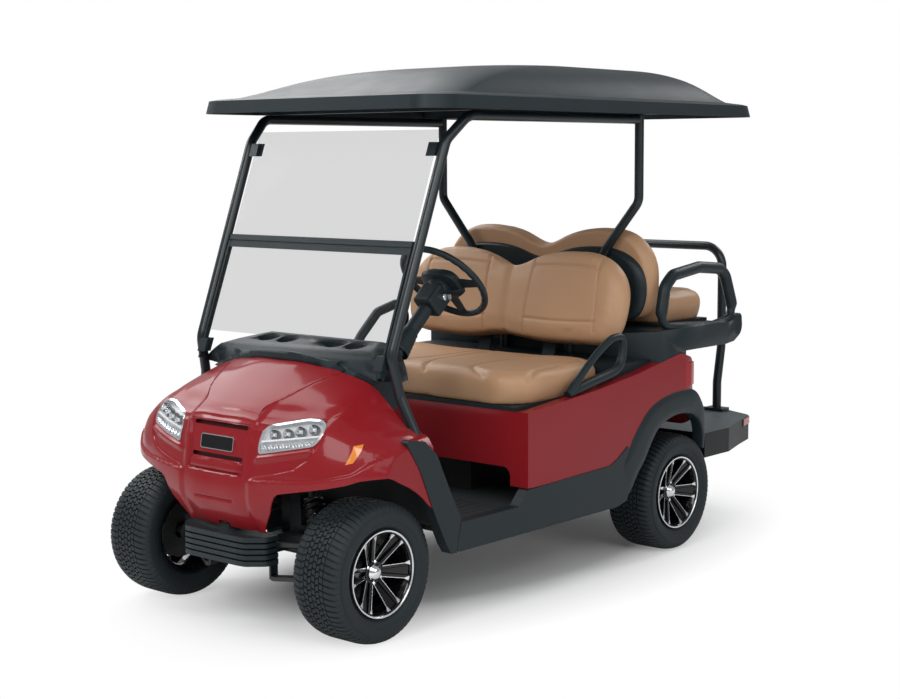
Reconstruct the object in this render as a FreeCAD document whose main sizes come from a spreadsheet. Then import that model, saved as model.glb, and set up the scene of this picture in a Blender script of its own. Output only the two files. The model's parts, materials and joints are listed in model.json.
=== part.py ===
import FreeCAD, Part
import math
import os
import Sketcher

os.makedirs("parts", exist_ok=True)

# A four-seat electric golf cart with a forward front seat and a rear-facing flip seat.
# The frame is centred on the floor under the vehicle: X to its left, Y to its rear, Z up.
# Places along the vehicle are stations, measured rearward from the front axle.

doc = FreeCAD.newDocument("GolfCart")
sheet = doc.addObject("Spreadsheet::Sheet", "Sizes")

sizes = {
    # the whole vehicle
    "overall_length": 2725, "overall_width": 1200, "overall_height": 1897,
    "wheelbase": 1664, "front_overhang": 225, "track_front": 930, "track_rear": 970,
    "fit_gap": 0.3, "moving_gap": 8, "overrun": 60,
    # tyres and rims
    "tyre_radius": 230, "tyre_width": 205, "tyre_bead_width": 160, "bead_radius": 127,
    "rim_flange_radius": 142, "rim_width": 188, "rim_wall": 5, "rim_well_radius": 110,
    "rim_disc_inset": 26, "rim_disc_thickness": 9, "spoke_pairs": 6, "spoke_width": 17,
    "spoke_gap": 12, "spoke_depth": 18, "hub_radius": 44, "hub_depth": 46, "hub_bore": 15,
    "centre_cap_radius": 27, "centre_cap_depth": 12, "drum_radius": 84, "drum_depth": 34,
    # main frame
    "rail_spacing": 560, "rail_width": 40, "rail_bottom": 255, "rail_depth": 60,
    "rail_front": 300, "kick_start": 1220, "kick_end": 1340, "rear_rail_bottom": 345,
    "rear_rail_depth": 55, "rail_end": 2300, "front_rail_spacing": 270,
    "front_rail_start": -118, "front_rail_end": 345, "cross_width": 40,
    "cross_middle": 900, "cross_rear": 1930, "outrigger_reach": 515, "outrigger_depth": 45,
    "tower_width": 50, "tower_height": 490, "bracket_thickness": 8, "bracket_drop": 185,
    # front suspension and steering
    "kingpin_x": 375, "kingpin_radius": 9, "kingpin_height": 132, "ear_thickness": 18,
    "ear_width": 40, "carrier_inner": 326, "carrier_web": 10, "web_width": 24,
    "arm_thickness": 14, "arm_leg": 17, "lower_arm_base": 115, "upper_arm_base": 110,
    "arm_tip": 14, "damper_radius": 24, "damper_rod_radius": 10, "damper_foot_x": 272,
    "damper_top_x": 224, "barrel_radius": 18, "spindle_radius": 14.9,
    "spindle_reach": 130, "spindle_flange_radius": 34, "spindle_flange_thickness": 9,
    "steer_arm_length": 68, "steer_arm_offset": 18, "steer_arm_width": 16,
    "steer_arm_thickness": 14, "steer_eye_radius": 13, "rack_station": 61,
    "rack_height": 231, "rack_radius": 9, "rack_housing_radius": 16, "rack_housing_half": 150,
    "tie_rod_radius": 7, "rack_gap": 0.5,
    # rear axle, springs and drive
    "axle_tube_radius": 34, "axle_tube_half": 455, "axle_pin_reach": 75,
    "diff_radius": 88, "diff_width": 130, "motor_radius": 82, "motor_length": 200,
    "motor_behind": 128, "motor_height": 250, "gear_case_corner": 20, "spring_half": 318, "spring_eye_height": 318,
    "spring_seat_height": 272, "spring_leaf": 7, "spring_width": 44, "spring_eye_radius": 13,
    "shackle_thickness": 6, "rear_damper_radius": 21, "rear_damper_x": 215,
    "rear_damper_top": 395, "brake_plate_radius": 92, "brake_plate_thickness": 10,
    # battery pack
    "battery_length": 400, "battery_half_width": 240, "battery_height": 250,
    "battery_station": 800,
    # floor, rockers and pillar bases
    "floor_top": 333, "floor_front": 335,
    "floor_rear": 1180, "toe_top_station": 232, "toe_top": 552, "rocker_half_width": 595,
    "rocker_inner": 553, "rocker_wall": 4, "rocker_bottom": 247, "sill_top": 345,
    "rocker_front": 313, "rocker_rear": 1316, "rocker_top": 472, "seam_top": 336,
    "pillar_front": 66, "pillar_top": 656, "moulding_corner": 40,
    # front cowl
    "cowl_half_width": 585, "cowl_wall": 5, "nose_station": -222,
    "cowl_bottom": 340, "crease_station": -145, "hood_rear": 78, "hood_top": 905, "hood_side_rear": 205,
    "arch_height": 550, "chin_half": 178, "arch_inner": 320, "slot_half": 139,
    "slot_height": 689, "slot_depth": 10, "low_slot_half": 127, "low_slot_height": 582,
    "lamp_depth": 34, "lamp_inner": 178, "lamp_outer": 400, "lamp_bottom": 600,
    "lamp_top": 735,
    # bumper
    "bumper_wrap_half": 205, "bumper_bottom": 231, "bumper_top": 327,
    "bumper_ribs": 4, "bumper_groove": 6, "bumper_groove_depth": 9, "tow_lip_corner": 12,
    "tow_lip_half": 45, "tow_lip_drop": 22, "tow_hole_radius": 10,
    # cowl trim and dashboard
    "trim_height": 38, "trim_depth": 16, "trim_half": 440, "bow_top": 900, "bow_base": 560,
    "dash_rear": 325, "dash_height": 930, "dash_half_width": 500, "dash_bottom": 655, "cup_radius": 41,
    "cup_depth": 75, "cup_spread": 118, "cup_pair": 98, "cup_station": 238,
    # steering wheel and column
    "wheel_x": 285, "wheel_station": 605, "wheel_height": 1114, "column_angle": 43,
    "wheel_ring_radius": 163, "wheel_ring_thickness": 12, "wheel_hub_radius": 47,
    "wheel_hub_depth": 34, "wheel_spoke_width": 34, "wheel_spoke_thickness": 14,
    "column_radius": 26, "column_length": 345, "column_start": 24.3, "pod_width": 84,
    "pod_length": 92, "pod_height": 88, "shaft_radius": 9, "pinion_x": 75,
    "shaft_tip_depth": 10,
    # windscreen and struts
    "strut_radius": 17.5, "strut_top_height": 1688, "strut_foot_x": 573.2,
    "strut_foot_station": 196, "strut_foot_height": 560, "strut_low_x": 480,
    "strut_low_station": 166, "strut_low_height": 775, "strut_knee_x": 469,
    "strut_knee_station": 138, "strut_knee_height": 907, "strut_brow_x": 478,
    "strut_brow_station": 402, "strut_brow_height": 1605, "strut_top_station": 490,
    "strut_bend": 70, "pane_thickness": 5, "pane_half_width": 440, "pane_low": 838,
    "pane_split": 1251, "pane_top": 1640, "crossbar_depth": 44, "crossbar_thickness": 16,
    "channel_width": 16, "channel_thickness": 18, "clamp_length": 46, "clamp_depth": 30,
    "rear_strut_station": 1489, "rear_strut_x": 499, "rear_knee_height": 1376,
    "rear_strut_low_x": 351, "rear_strut_low_height": 1198, "rear_strut_foot_x": 165,
    "rear_strut_foot_height": 880, "rear_strut_bend": 60,
    # roof
    "roof_half_width": 590, "roof_front": 225, "roof_rear": 2225, "roof_bottom": 1706,
    "roof_corner": 110, "roof_wall": 7, "roof_rib_width": 46,
    # front seat
    "seat_front": 694, "seat_rear": 1245, "seat_half_width": 540, "board_bottom": 665,
    "board_thickness": 15, "cushion_top": 790, "back_front": 1262,
    "back_bottom": 842, "back_top": 1206, "back_half_width": 548, "back_depth": 105,
    "back_lean": 95, "deck_height": 772,
    "deck_thickness": 12, "deck_front": 1262, "deck_rear": 1507.7, "post_x": 165,
    "post_width": 60, "post_depth": 34,
    # front armrests
    "arm_x": 573, "arm_radius": 16, "arm_bend": 45, "arm_front": 963, "arm_rear": 1301,
    "arm_bottom": 702, "arm_top": 880, "far_arm_rear": 1330, "far_arm_top": 946,
    # rear seat
    "rear_back_front": 1506.8, "rear_shell_depth": 24, "rear_back_depth": 84,
    "rear_back_bottom": 905, "rear_back_top": 1269, "rear_back_half_width": 534,
    "rear_cushion_front": 1634,
    "rear_cushion_rear": 1996, "rear_cushion_half_width": 500, "rear_cushion_top": 1004,
    "rear_board_thickness": 12, "rear_board_bottom": 882,
    "tray_bottom": 792, "tray_half_width": 590, "tray_wall": 8, "tray_front": 1508.3,
    "tray_skirt_rear": 1690, "tray_rear": 1990, "tray_arm_rear": 2109, "loop_top": 1112,
    "loop_x": 566, "loop_radius": 17, "loop_bend": 55,
    # rear body
    "body_half_width": 592, "body_front": 695, "body_rear": 1850, "body_wall": 5,
    "body_bottom": 400.3, "body_front_top": 664.7, "body_rear_top": 786, "body_corner": 170,
    "heel_height": 466, "heel_half_width": 511, "arch_station": 1640, "arch_centre": 235,
    "arch_radius": 315, "flare_band": 88, "flare_half_width": 600, "flare_wall": 5,
    "tail_lamp_height": 90, "tail_lamp_bottom": 652, "tail_lamp_width": 62,
    # footplate and grab bar
    "plate_top": 435, "plate_depth": 100, "plate_front": 1880, "plate_half_width": 560,
    "plate_wall": 6, "plate_corner": 70, "hoop_half_width": 275, "hoop_station": 2455,
    "hoop_top": 1156, "hoop_radius": 19, "hoop_bend": 90, "hoop_foot": 90,
    "hoop_foot_thickness": 14,
    # pedals
    "pedal_width": 90, "pedal_height": 120, "pedal_thickness": 10, "accelerator_width": 62,
    "pedal_station": 372, "pedal_bottom": 385, "pedal_arm": 9, "pedal_lean": 24,
}
for row, (name, value) in enumerate(sizes.items(), start=1):
    sheet.set(f"A{row}", name)
    sheet.set(f"B{row}", str(value))
    sheet.setAlias(f"B{row}", name)
doc.recompute()


class NamedSizes:
    """Reads a size from the sheet by its alias."""
    def __getattr__(self, name):
        return float(sheet.get(name))


v = NamedSizes()
station_shift = "Sizes.front_overhang - Sizes.overall_length / 2"
kept = []


def vec(x, y, z):
    return FreeCAD.Vector(x, y, z)


def keep(piece, label, x="0", y=station_shift, z="0"):
    """Names a finished sub-part and binds its place in the vehicle."""
    piece.Label = label
    for letter, term in zip("xyz", (x, y, z)):
        piece.setExpression(f"Placement.Base.{letter}", term)
    kept.append(piece)
    return piece


def shaped(label, shape, x="0", y=station_shift, z="0"):
    """A free-form sub-part, its sizes already read from the sheet."""
    piece = doc.addObject("Part::Feature", label)
    piece.Shape = Part.makeCompound(shape.Solids)
    return keep(piece, label, x, y, z)


def lift(plane, u, w, at):
    """A point of a drawing plane in space."""
    if plane == "YZ":
        return vec(at, u, w)
    if plane == "XZ":
        return vec(u, at, w)
    return vec(u, w, at)


def outline(points, plane, at=0.0):
    """A closed wire through (u, w) or (u, w, radius) corners, rounded where a radius is given."""
    count = len(points)
    edges = []
    ends = []
    for index, point in enumerate(points):
        corner = vec(point[0], point[1], 0)
        radius = point[2] if len(point) > 2 else 0
        if radius <= 0:
            ends.append((corner, None, corner))
            continue
        before = vec(*points[index - 1][:2], 0) - corner
        after = vec(*points[(index + 1) % count][:2], 0) - corner
        half = before.getAngle(after) / 2
        reach = min(radius / math.tan(half), before.Length / 2, after.Length / 2)
        true_radius = reach * math.tan(half)
        before.normalize()
        after.normalize()
        middle = before + after
        middle.normalize()
        centre = corner + middle * (true_radius / math.sin(half))
        ends.append((corner + before * reach, centre - middle * true_radius,
                     corner + after * reach))
    for index in range(count):
        start, mid, end = ends[index]
        following = ends[(index + 1) % count][0]
        if mid is not None:
            edges.append(Part.Arc(*[lift(plane, p.x, p.y, at) for p in (start, mid, end)]).toShape())
        if (end - following).Length > 1e-6:
            edges.append(Part.LineSegment(lift(plane, end.x, end.y, at),
                                          lift(plane, following.x, following.y, at)).toShape())
    return Part.Wire(edges)


def prism(points, plane, low, high):
    """The outline extruded square to its plane, from low to high."""
    normals = {"YZ": vec(1, 0, 0), "XZ": vec(0, 1, 0), "XY": vec(0, 0, 1)}
    return Part.Face(outline(points, plane, low)).extrude(normals[plane] * (high - low))


def curved(points, base, plane, low, high):
    """A prism whose far side is a smooth curve through the points, closed by base corners."""
    curve = Part.BSplineCurve()
    curve.interpolate([lift(plane, p[0], p[1], low) for p in points])
    corners = [points[-1]] + base + [points[0]]
    edges = [curve.toShape()]
    for start, end in zip(corners, corners[1:]):
        edges.append(Part.LineSegment(lift(plane, *start, low), lift(plane, *end, low)).toShape())
    normals = {"YZ": vec(1, 0, 0), "XZ": vec(0, 1, 0), "XY": vec(0, 0, 1)}
    return Part.Face(Part.Wire(edges)).extrude(normals[plane] * (high - low))


def fitted(shares, across, up, corner=0.0):
    """Corners given as shares of a box: its two spans, and radii as shares of a corner size."""
    return [(across[0] + (across[1] - across[0]) * row[0], up[0] + (up[1] - up[0]) * row[1],
             corner * (row[2] if len(row) > 2 else 0)) for row in shares]


def fitted_pairs(shares, across, up):
    return [(row[0], row[1]) for row in fitted(shares, across, up)]


def ring(points, plane, at):
    """A smooth closed wire through the points."""
    curve = Part.BSplineCurve()
    curve.interpolate([lift(plane, p[0], p[1], at) for p in points], PeriodicFlag=True)
    return Part.Wire(curve.toShape())


def pillow(points, plane, levels, shares, centre):
    """A padded form: one smooth outline, drawn in towards a centre at each level, and lofted."""
    wires = []
    for level, share in zip(levels, shares):
        drawn = [(centre[0] + (p[0] - centre[0]) * share, centre[1] + (p[1] - centre[1]) * share)
                 for p in points]
        wires.append(ring(drawn, plane, level))
    return Part.makeLoft(wires, True, False)


def block(x, y, z):
    """A box between three pairs of limits."""
    return Part.makeBox(x[1] - x[0], y[1] - y[0], z[1] - z[0], vec(x[0], y[0], z[0]))


def rod(start, end, radius):
    """A round bar between two points."""
    direction = end - start
    return Part.makeCylinder(radius, direction.Length, start, direction)


def flip(shape):
    """The same piece on the other side of the vehicle."""
    return shape.mirror(vec(0, 0, 0), vec(1, 0, 0))


def pair(shape):
    """Two solids, one on each side."""
    return Part.makeCompound([shape, flip(shape)])


def joined(*shapes):
    """One solid from touching pieces."""
    return shapes[0].fuse(list(shapes[1:])).removeSplitter()


def pipe(points, bend, radius):
    """A round tube along straight runs joined by arcs of one bend radius."""
    edges = []
    here = points[0]
    for index in range(1, len(points) - 1):
        corner = points[index]
        before = points[index - 1] - corner
        after = points[index + 1] - corner
        half = before.getAngle(after) / 2
        share = 0.48
        reach = min(bend / math.tan(half), before.Length * share, after.Length * share)
        true_radius = reach * math.tan(half)
        before.normalize()
        after.normalize()
        middle = before + after
        middle.normalize()
        start = corner + before * reach
        end = corner + after * reach
        top = corner + middle * (true_radius / math.sin(half) - true_radius)
        edges.append(Part.LineSegment(here, start).toShape())
        edges.append(Part.Arc(start, top, end).toShape())
        here = end
    edges.append(Part.LineSegment(here, points[-1]).toShape())
    path = Part.Wire(edges)
    section = Part.Wire(Part.makeCircle(radius, points[0], points[1] - points[0]))
    return path.makePipeShell([section], True, True)


def sketched(body, plane, corners, name):
    """A closed sketch whose every corner is bound to the sheet by two expressions."""
    sketch = body.newObject("Sketcher::SketchObject", name)
    origin = next(f for f in body.Origin.OriginFeatures if f.Role == plane)
    sketch.AttachmentSupport = [(origin, "")]
    sketch.MapMode = "FlatFace"
    places = [(corner_value(u), corner_value(w)) for u, w in corners]
    count = len(corners)
    for index in range(count):
        start = places[index]
        end = places[(index + 1) % count]
        sketch.addGeometry(Part.LineSegment(vec(*start, 0), vec(*end, 0)), False)
    for index in range(count):
        sketch.addConstraint(Sketcher.Constraint("Coincident", index, 2, (index + 1) % count, 1))
    for index, (u, w) in enumerate(corners):
        for kind, term, value in (("DistanceX", u, places[index][0]),
                                  ("DistanceY", w, places[index][1])):
            number = sketch.addConstraint(Sketcher.Constraint(kind, -1, 1, index, 1, value))
            sketch.setExpression(f"Constraints[{number}]", term)
    return sketch


def corner_value(term):
    """The value of an expression of sizes, for the first draft of a sketch."""
    probe.setExpression("Placement.Base.x", term)
    doc.recompute([probe])
    return probe.Placement.Base.x


probe = doc.addObject("Part::Feature", "probe")

# Wheels: a tyre and a rim turned about the wheel's own axis, which is X

tyre_profile = [
    ("-Sizes.tyre_bead_width / 2", "Sizes.bead_radius"),
    ("Sizes.tyre_bead_width / 2", "Sizes.bead_radius"),
    ("Sizes.tyre_bead_width / 2 + 3 * Sizes.fit_gap", "Sizes.rim_flange_radius + 8 * Sizes.fit_gap"),
    ("Sizes.tyre_width * 0.49", "Sizes.tyre_radius * 0.75"),
    ("Sizes.tyre_width * 0.5", "Sizes.tyre_radius * 0.86"),
    ("Sizes.tyre_width * 0.43", "Sizes.tyre_radius * 0.965"),
    ("Sizes.tyre_width * 0.31", "Sizes.tyre_radius"),
    ("-Sizes.tyre_width * 0.31", "Sizes.tyre_radius"),
    ("-Sizes.tyre_width * 0.43", "Sizes.tyre_radius * 0.965"),
    ("-Sizes.tyre_width * 0.5", "Sizes.tyre_radius * 0.86"),
    ("-Sizes.tyre_width * 0.49", "Sizes.tyre_radius * 0.75"),
    ("-Sizes.tyre_bead_width / 2 - 3 * Sizes.fit_gap", "Sizes.rim_flange_radius + 8 * Sizes.fit_gap"),
]


def turned(body, corners, name):
    """Revolves a closed profile about the body's X axis."""
    sketch = sketched(body, "XY_Plane", corners, name + "Sketch")
    feature = body.newObject("PartDesign::Revolution", name)
    feature.Profile = sketch
    feature.ReferenceAxis = (next(f for f in body.Origin.OriginFeatures if f.Role == "X_Axis"), [""])
    feature.Angle = 360
    body.Tip = feature
    return feature


def wheel(place, side, track, station):
    """One wheel: side is 1 on the left and -1 on the right."""
    x = f"{side} * Sizes.{track} / 2"
    y = f"{station_shift} + {station}"
    z = "Sizes.tyre_radius"
    tyre = doc.addObject("PartDesign::Body", f"tyre_{place}")
    turned(tyre, tyre_profile, f"tyreTurn_{place}")
    keep(tyre, f"tyre_{place}", x, y, z)
    shaped(f"rim_{place}", rim_shape(side), x, y, z)


def rim_shape(side):
    """A drop-centre rim with paired spokes, a hub, its drum and a centre cap."""
    half = v.rim_width / 2
    wall = v.rim_wall
    bead = v.bead_radius - v.fit_gap
    flange = v.rim_flange_radius
    flange_in = v.tyre_bead_width / 2 + 4 * v.fit_gap
    well = v.rim_well_radius
    well_half = half * 0.36
    slope = half * 0.58
    profile = [
        (half, flange), (flange_in + wall * 0.4, flange), (flange_in, bead), (slope, bead),
        (well_half, well), (-well_half, well), (-slope, bead), (-flange_in, bead),
        (-flange_in - wall * 0.4, flange), (-half, flange), (-half, bead - wall),
        (-slope, bead - wall), (-well_half, well - wall), (well_half, well - wall),
        (slope, bead - wall), (half, bead - wall),
    ]
    axis = vec(1, 0, 0)
    barrel = Part.Face(outline(profile, "XY")).revolve(vec(0, 0, 0), axis, 360)
    face = half - v.rim_disc_inset
    hub_back = face - v.hub_depth
    hub = rod(vec(hub_back, 0, 0), vec(face, 0, 0), v.hub_radius)
    drum = rod(vec(hub_back - v.drum_depth, 0, 0), vec(hub_back, 0, 0), v.drum_radius)
    hollow = rod(vec(hub_back - v.drum_depth, 0, 0), vec(hub_back - wall, 0, 0), v.drum_radius - wall)
    cap = rod(vec(face, 0, 0), vec(face + v.centre_cap_depth, 0, 0), v.centre_cap_radius)
    reach = bead - wall / 2
    inside = rod(vec(-half, 0, 0), vec(half, 0, 0), reach)
    pieces = [hub, drum.cut(hollow)]
    for number in range(int(v.spoke_pairs)):
        for lean in (-1, 1):
            middle = lean * (v.spoke_gap + v.spoke_width) / 2
            root = (v.hub_radius * 0.72, middle)
            tip = (reach, middle * 1.9)
            half_width = v.spoke_width / 2
            spoke = prism([(root[0], root[1] - half_width), (tip[0], tip[1] - half_width),
                           (tip[0], tip[1] + half_width), (root[0], root[1] + half_width)],
                          "YZ", face - v.spoke_depth, face)
            spoke.rotate(vec(0, 0, 0), axis, number * 360 / v.spoke_pairs)
            pieces.append(spoke.common(inside))
    rim = joined(barrel, *pieces, cap)
    bore = rod(vec(-half, 0, 0), vec(face - v.rim_disc_thickness, 0, 0), v.hub_bore)
    rim = rim.cut(bore)
    return rim if side > 0 else flip(rim)


wheel("front_left", 1, "track_front", "0")
wheel("front_right", -1, "track_front", "0")
wheel("rear_left", 1, "track_rear", "Sizes.wheelbase")
wheel("rear_right", -1, "track_rear", "Sizes.wheelbase")

axle_height = v.tyre_radius

# Main frame: two kicked-up rails, a narrow front subframe and cross members

rail_inner = v.rail_spacing / 2 - v.rail_width / 2
rail_outer = v.rail_spacing / 2 + v.rail_width / 2
rail_top = v.rail_bottom + v.rail_depth
rear_rail_top = v.rear_rail_bottom + v.rear_rail_depth
front_rail_outer = v.front_rail_spacing / 2 + v.rail_width / 2
front_rail_inner = v.front_rail_spacing / 2 - v.rail_width / 2


def chassis_frame():
    rail = prism([(v.rail_front, v.rail_bottom), (v.kick_start, v.rail_bottom),
                  (v.kick_end, v.rear_rail_bottom), (v.rail_end, v.rear_rail_bottom),
                  (v.rail_end, rear_rail_top), (v.kick_end - v.rail_width / 2, rear_rail_top),
                  (v.kick_start - v.rail_width / 2, rail_top), (v.rail_front, rail_top)],
                 "YZ", rail_inner, rail_outer)
    front_rail = block((front_rail_inner, front_rail_outer),
                       (v.front_rail_start, v.front_rail_end), (v.rail_bottom, rail_top))
    tower = block((front_rail_inner, front_rail_outer), (-v.tower_width / 2, v.tower_width / 2),
                  (rail_top, v.tower_height))
    tower_top = block((front_rail_inner, v.damper_top_x + v.damper_radius),
                      (-v.tower_width / 2, v.tower_width / 2),
                      (v.tower_height - v.bracket_thickness, v.tower_height))
    sides = [rail, front_rail, tower, tower_top]
    for station in (-1, 1):
        middle = station * (v.lower_arm_base - v.arm_leg)
        half = v.bracket_thickness * 2
        sides.append(block((front_rail_outer - v.bracket_thickness, front_rail_outer),
                           (middle - half, middle + half), (v.bracket_drop - half, v.rail_bottom)))
    for station in (v.rail_front + v.overrun * 2, v.body_front + v.overrun, v.kick_start - v.overrun):
        sides.append(block((rail_inner, v.outrigger_reach),
                           (station, station + v.rail_width),
                           (rail_top - v.outrigger_depth, rail_top)))
    members = []
    for station, half, low, high in (
            (v.front_rail_start, front_rail_outer, v.rail_bottom, rail_top),
            (v.rail_front, rail_outer, v.rail_bottom, rail_top),
            (v.cross_middle, rail_outer, v.rail_bottom, rail_top),
            (v.kick_start - v.cross_width, rail_outer, v.rail_bottom, rail_top),
            (v.cross_rear, rail_outer, v.rear_rail_bottom, rear_rail_top),
            (v.rail_end - v.cross_width, rail_outer, v.rear_rail_bottom, rear_rail_top)):
        members.append(block((-half, half), (station, station + v.cross_width), (low, high)))
    return joined(*sides, *[flip(side) for side in sides], *members)


shaped("chassis_frame", chassis_frame())

# Front suspension: a lower and an upper arm, a kingpin carrier and a coil-over damper each side


def arm_plate(base, low):
    """A wishbone: a triangle with its middle cut out."""
    inner = front_rail_outer + v.fit_gap
    outer_tip = v.carrier_inner + v.carrier_web
    leg = v.arm_leg
    plate = prism([(inner, -base), (inner + leg, -base), (outer_tip, -v.arm_tip),
                   (outer_tip, v.arm_tip), (inner + leg, base), (inner, base),
                   (inner, base - leg * 1.6), (outer_tip - leg * 2.6, v.arm_tip * 0.3),
                   (outer_tip - leg * 2.6, -v.arm_tip * 0.3), (inner, leg * 1.6 - base)],
                  "XY", low, low + v.arm_thickness)
    return plate


kingpin_low = axle_height - v.kingpin_height / 2
kingpin_high = axle_height + v.kingpin_height / 2


def front_corner():
    ears = []
    for low in (kingpin_low, kingpin_high - v.ear_thickness):
        ears.append(block((v.carrier_inner, v.kingpin_x + v.barrel_radius),
                          (-v.ear_width / 2, v.ear_width / 2), (low, low + v.ear_thickness)))
    web = block((v.carrier_inner, v.carrier_inner + v.carrier_web),
                (-v.web_width / 2, v.web_width / 2), (kingpin_low, kingpin_high))
    pin = rod(vec(v.kingpin_x, 0, kingpin_low), vec(v.kingpin_x, 0, kingpin_high), v.kingpin_radius)
    lower = arm_plate(v.lower_arm_base, kingpin_low + v.arm_thickness / 7)
    upper = arm_plate(v.upper_arm_base, kingpin_high - v.ear_thickness + v.arm_thickness / 7)
    foot = block((v.damper_foot_x - v.damper_radius, v.damper_foot_x + v.damper_radius),
                 (-v.ear_width, v.ear_width),
                 (kingpin_low + v.arm_thickness / 7, kingpin_low + v.arm_thickness * 8 / 7))
    return joined(*ears, web, pin, lower, upper, foot, damper())


def damper():
    foot = vec(v.damper_foot_x, 0, kingpin_low + v.arm_thickness * 8 / 7)
    top = vec(v.damper_top_x, 0, v.tower_height - v.bracket_thickness - v.fit_gap)
    span = top - foot
    low = rod(foot + span * 0.06, foot + span * 0.94, v.damper_rod_radius)
    spring = rod(foot + span * 0.2, foot + span * 0.84, v.damper_radius)
    ends = [Part.makeSphere(v.damper_rod_radius, foot + vec(0, 0, v.damper_rod_radius)),
            Part.makeSphere(v.damper_rod_radius, top - vec(0, 0, v.damper_rod_radius))]
    return joined(low, spring, *ends)


shaped("front_suspension", pair(front_corner()))


def knuckle():
    low = kingpin_low + v.ear_thickness + v.rack_gap
    high = kingpin_high - v.ear_thickness - v.rack_gap
    centre = vec(v.kingpin_x, 0, axle_height)
    barrel = rod(vec(v.kingpin_x, 0, low), vec(v.kingpin_x, 0, high), v.barrel_radius)
    flange_start = v.kingpin_x + v.barrel_radius * 0.6
    flange_end = v.kingpin_x + v.barrel_radius + v.spindle_flange_thickness
    flange = rod(vec(flange_start, 0, axle_height), vec(flange_end, 0, axle_height),
                 v.spindle_flange_radius)
    spindle = rod(centre, centre + vec(v.spindle_reach, 0, 0), v.spindle_radius)
    end = vec(v.kingpin_x - v.steer_arm_offset, v.steer_arm_length, 0)
    low_arm = axle_height + v.rack_gap * 6 + v.tie_rod_radius
    half = v.steer_arm_width / 2
    arm = prism([(v.kingpin_x - half, 0), (v.kingpin_x + half, 0), (end.x + half, end.y),
                 (end.x - half, end.y)], "XY", low_arm, low_arm + v.steer_arm_thickness)
    eye = rod(vec(end.x, end.y, low_arm), vec(end.x, end.y, low_arm + v.steer_arm_thickness),
              v.steer_eye_radius)
    bore = rod(vec(v.kingpin_x, 0, kingpin_low), vec(v.kingpin_x, 0, kingpin_high),
               v.kingpin_radius + v.fit_gap)
    return joined(barrel, flange, spindle, arm, eye).cut(bore)


shaped("knuckle_left", knuckle())
shaped("knuckle_right", flip(knuckle()))


def steering_rack():
    """The toothed bar with a tie rod on each end; its eyes lie just under the steering arms."""
    end_x = v.kingpin_x - v.steer_arm_offset
    height = v.rack_height
    bar = rod(vec(-end_x, v.rack_station, height), vec(end_x, v.rack_station, height),
              v.tie_rod_radius)
    thick = rod(vec(-v.rack_housing_half - v.overrun, v.rack_station, height),
                vec(v.rack_housing_half + v.overrun, v.rack_station, height), v.rack_radius)
    eyes = [rod(vec(side * end_x, v.rack_station, height - v.tie_rod_radius),
                vec(side * end_x, v.rack_station, height + v.tie_rod_radius), v.steer_eye_radius)
            for side in (-1, 1)]
    return joined(bar, thick, *eyes)


def rack_housing():
    """The steering gear under the front rails, with its clamps and pinion tower."""
    height = v.rack_height
    housing = rod(vec(-v.rack_housing_half, v.rack_station, height),
                  vec(v.rack_housing_half, v.rack_station, height), v.rack_housing_radius)
    clamps = []
    for side in (-1, 1):
        middle = side * v.front_rail_spacing / 2
        half = v.rail_width * 0.4
        clamps.append(block((middle - half, middle + half),
                            (v.rack_station - v.rack_housing_radius, v.rack_station + v.rack_housing_radius),
                            (height, v.rail_bottom - v.fit_gap)))
    pinion = rod(vec(v.pinion_x, v.rack_station, height),
                 vec(v.pinion_x, v.rack_station, height + v.rack_housing_radius * 1.4),
                 v.rack_housing_radius * 0.9)
    bore = rod(vec(-v.rack_housing_half - v.overrun, v.rack_station, height),
               vec(v.rack_housing_half + v.overrun, v.rack_station, height),
               v.rack_radius + v.rack_gap)
    return joined(housing, *clamps, pinion).cut(bore)


shaped("steering_rack", steering_rack())

# Rear axle with its motor, leaf springs and dampers


def rear_axle():
    """Stationed at the rear axle; its ends are the pins that the wheels turn on."""
    station = v.wheelbase
    tube = rod(vec(-v.axle_tube_half, station, axle_height), vec(v.axle_tube_half, station, axle_height),
               v.axle_tube_radius)
    pin_end = v.axle_tube_half + v.axle_pin_reach
    pin = rod(vec(-pin_end, station, axle_height), vec(pin_end, station, axle_height), v.spindle_radius)
    diff = rod(vec(-v.diff_width / 2, station, axle_height), vec(v.diff_width / 2, station, axle_height),
               v.diff_radius)
    motor_end = station + v.motor_behind + v.motor_radius * 0.7
    case_start = station - v.diff_radius * 0.6
    gear_case = prism([(case_start, axle_height - v.diff_radius * 0.7, v.gear_case_corner),
                       (motor_end, axle_height - v.motor_radius * 0.5, v.gear_case_corner * 2),
                       (motor_end, axle_height + v.motor_radius * 0.9, v.gear_case_corner * 2),
                       (case_start, axle_height + v.diff_radius * 0.7, v.gear_case_corner)],
                      "YZ", -v.diff_width * 0.35, v.diff_width * 0.35)
    motor = rod(vec(v.diff_width * 0.35, station + v.motor_behind, v.motor_height),
                vec(-v.diff_width * 0.35 - v.motor_length, station + v.motor_behind, v.motor_height),
                v.motor_radius)
    plates = [rod(vec(side * v.axle_tube_half, station, axle_height),
                  vec(side * (v.axle_tube_half - v.brake_plate_thickness), station, axle_height),
                  v.brake_plate_radius) for side in (-1, 1)]
    return joined(tube, pin, diff, gear_case, motor, *plates)


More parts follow.
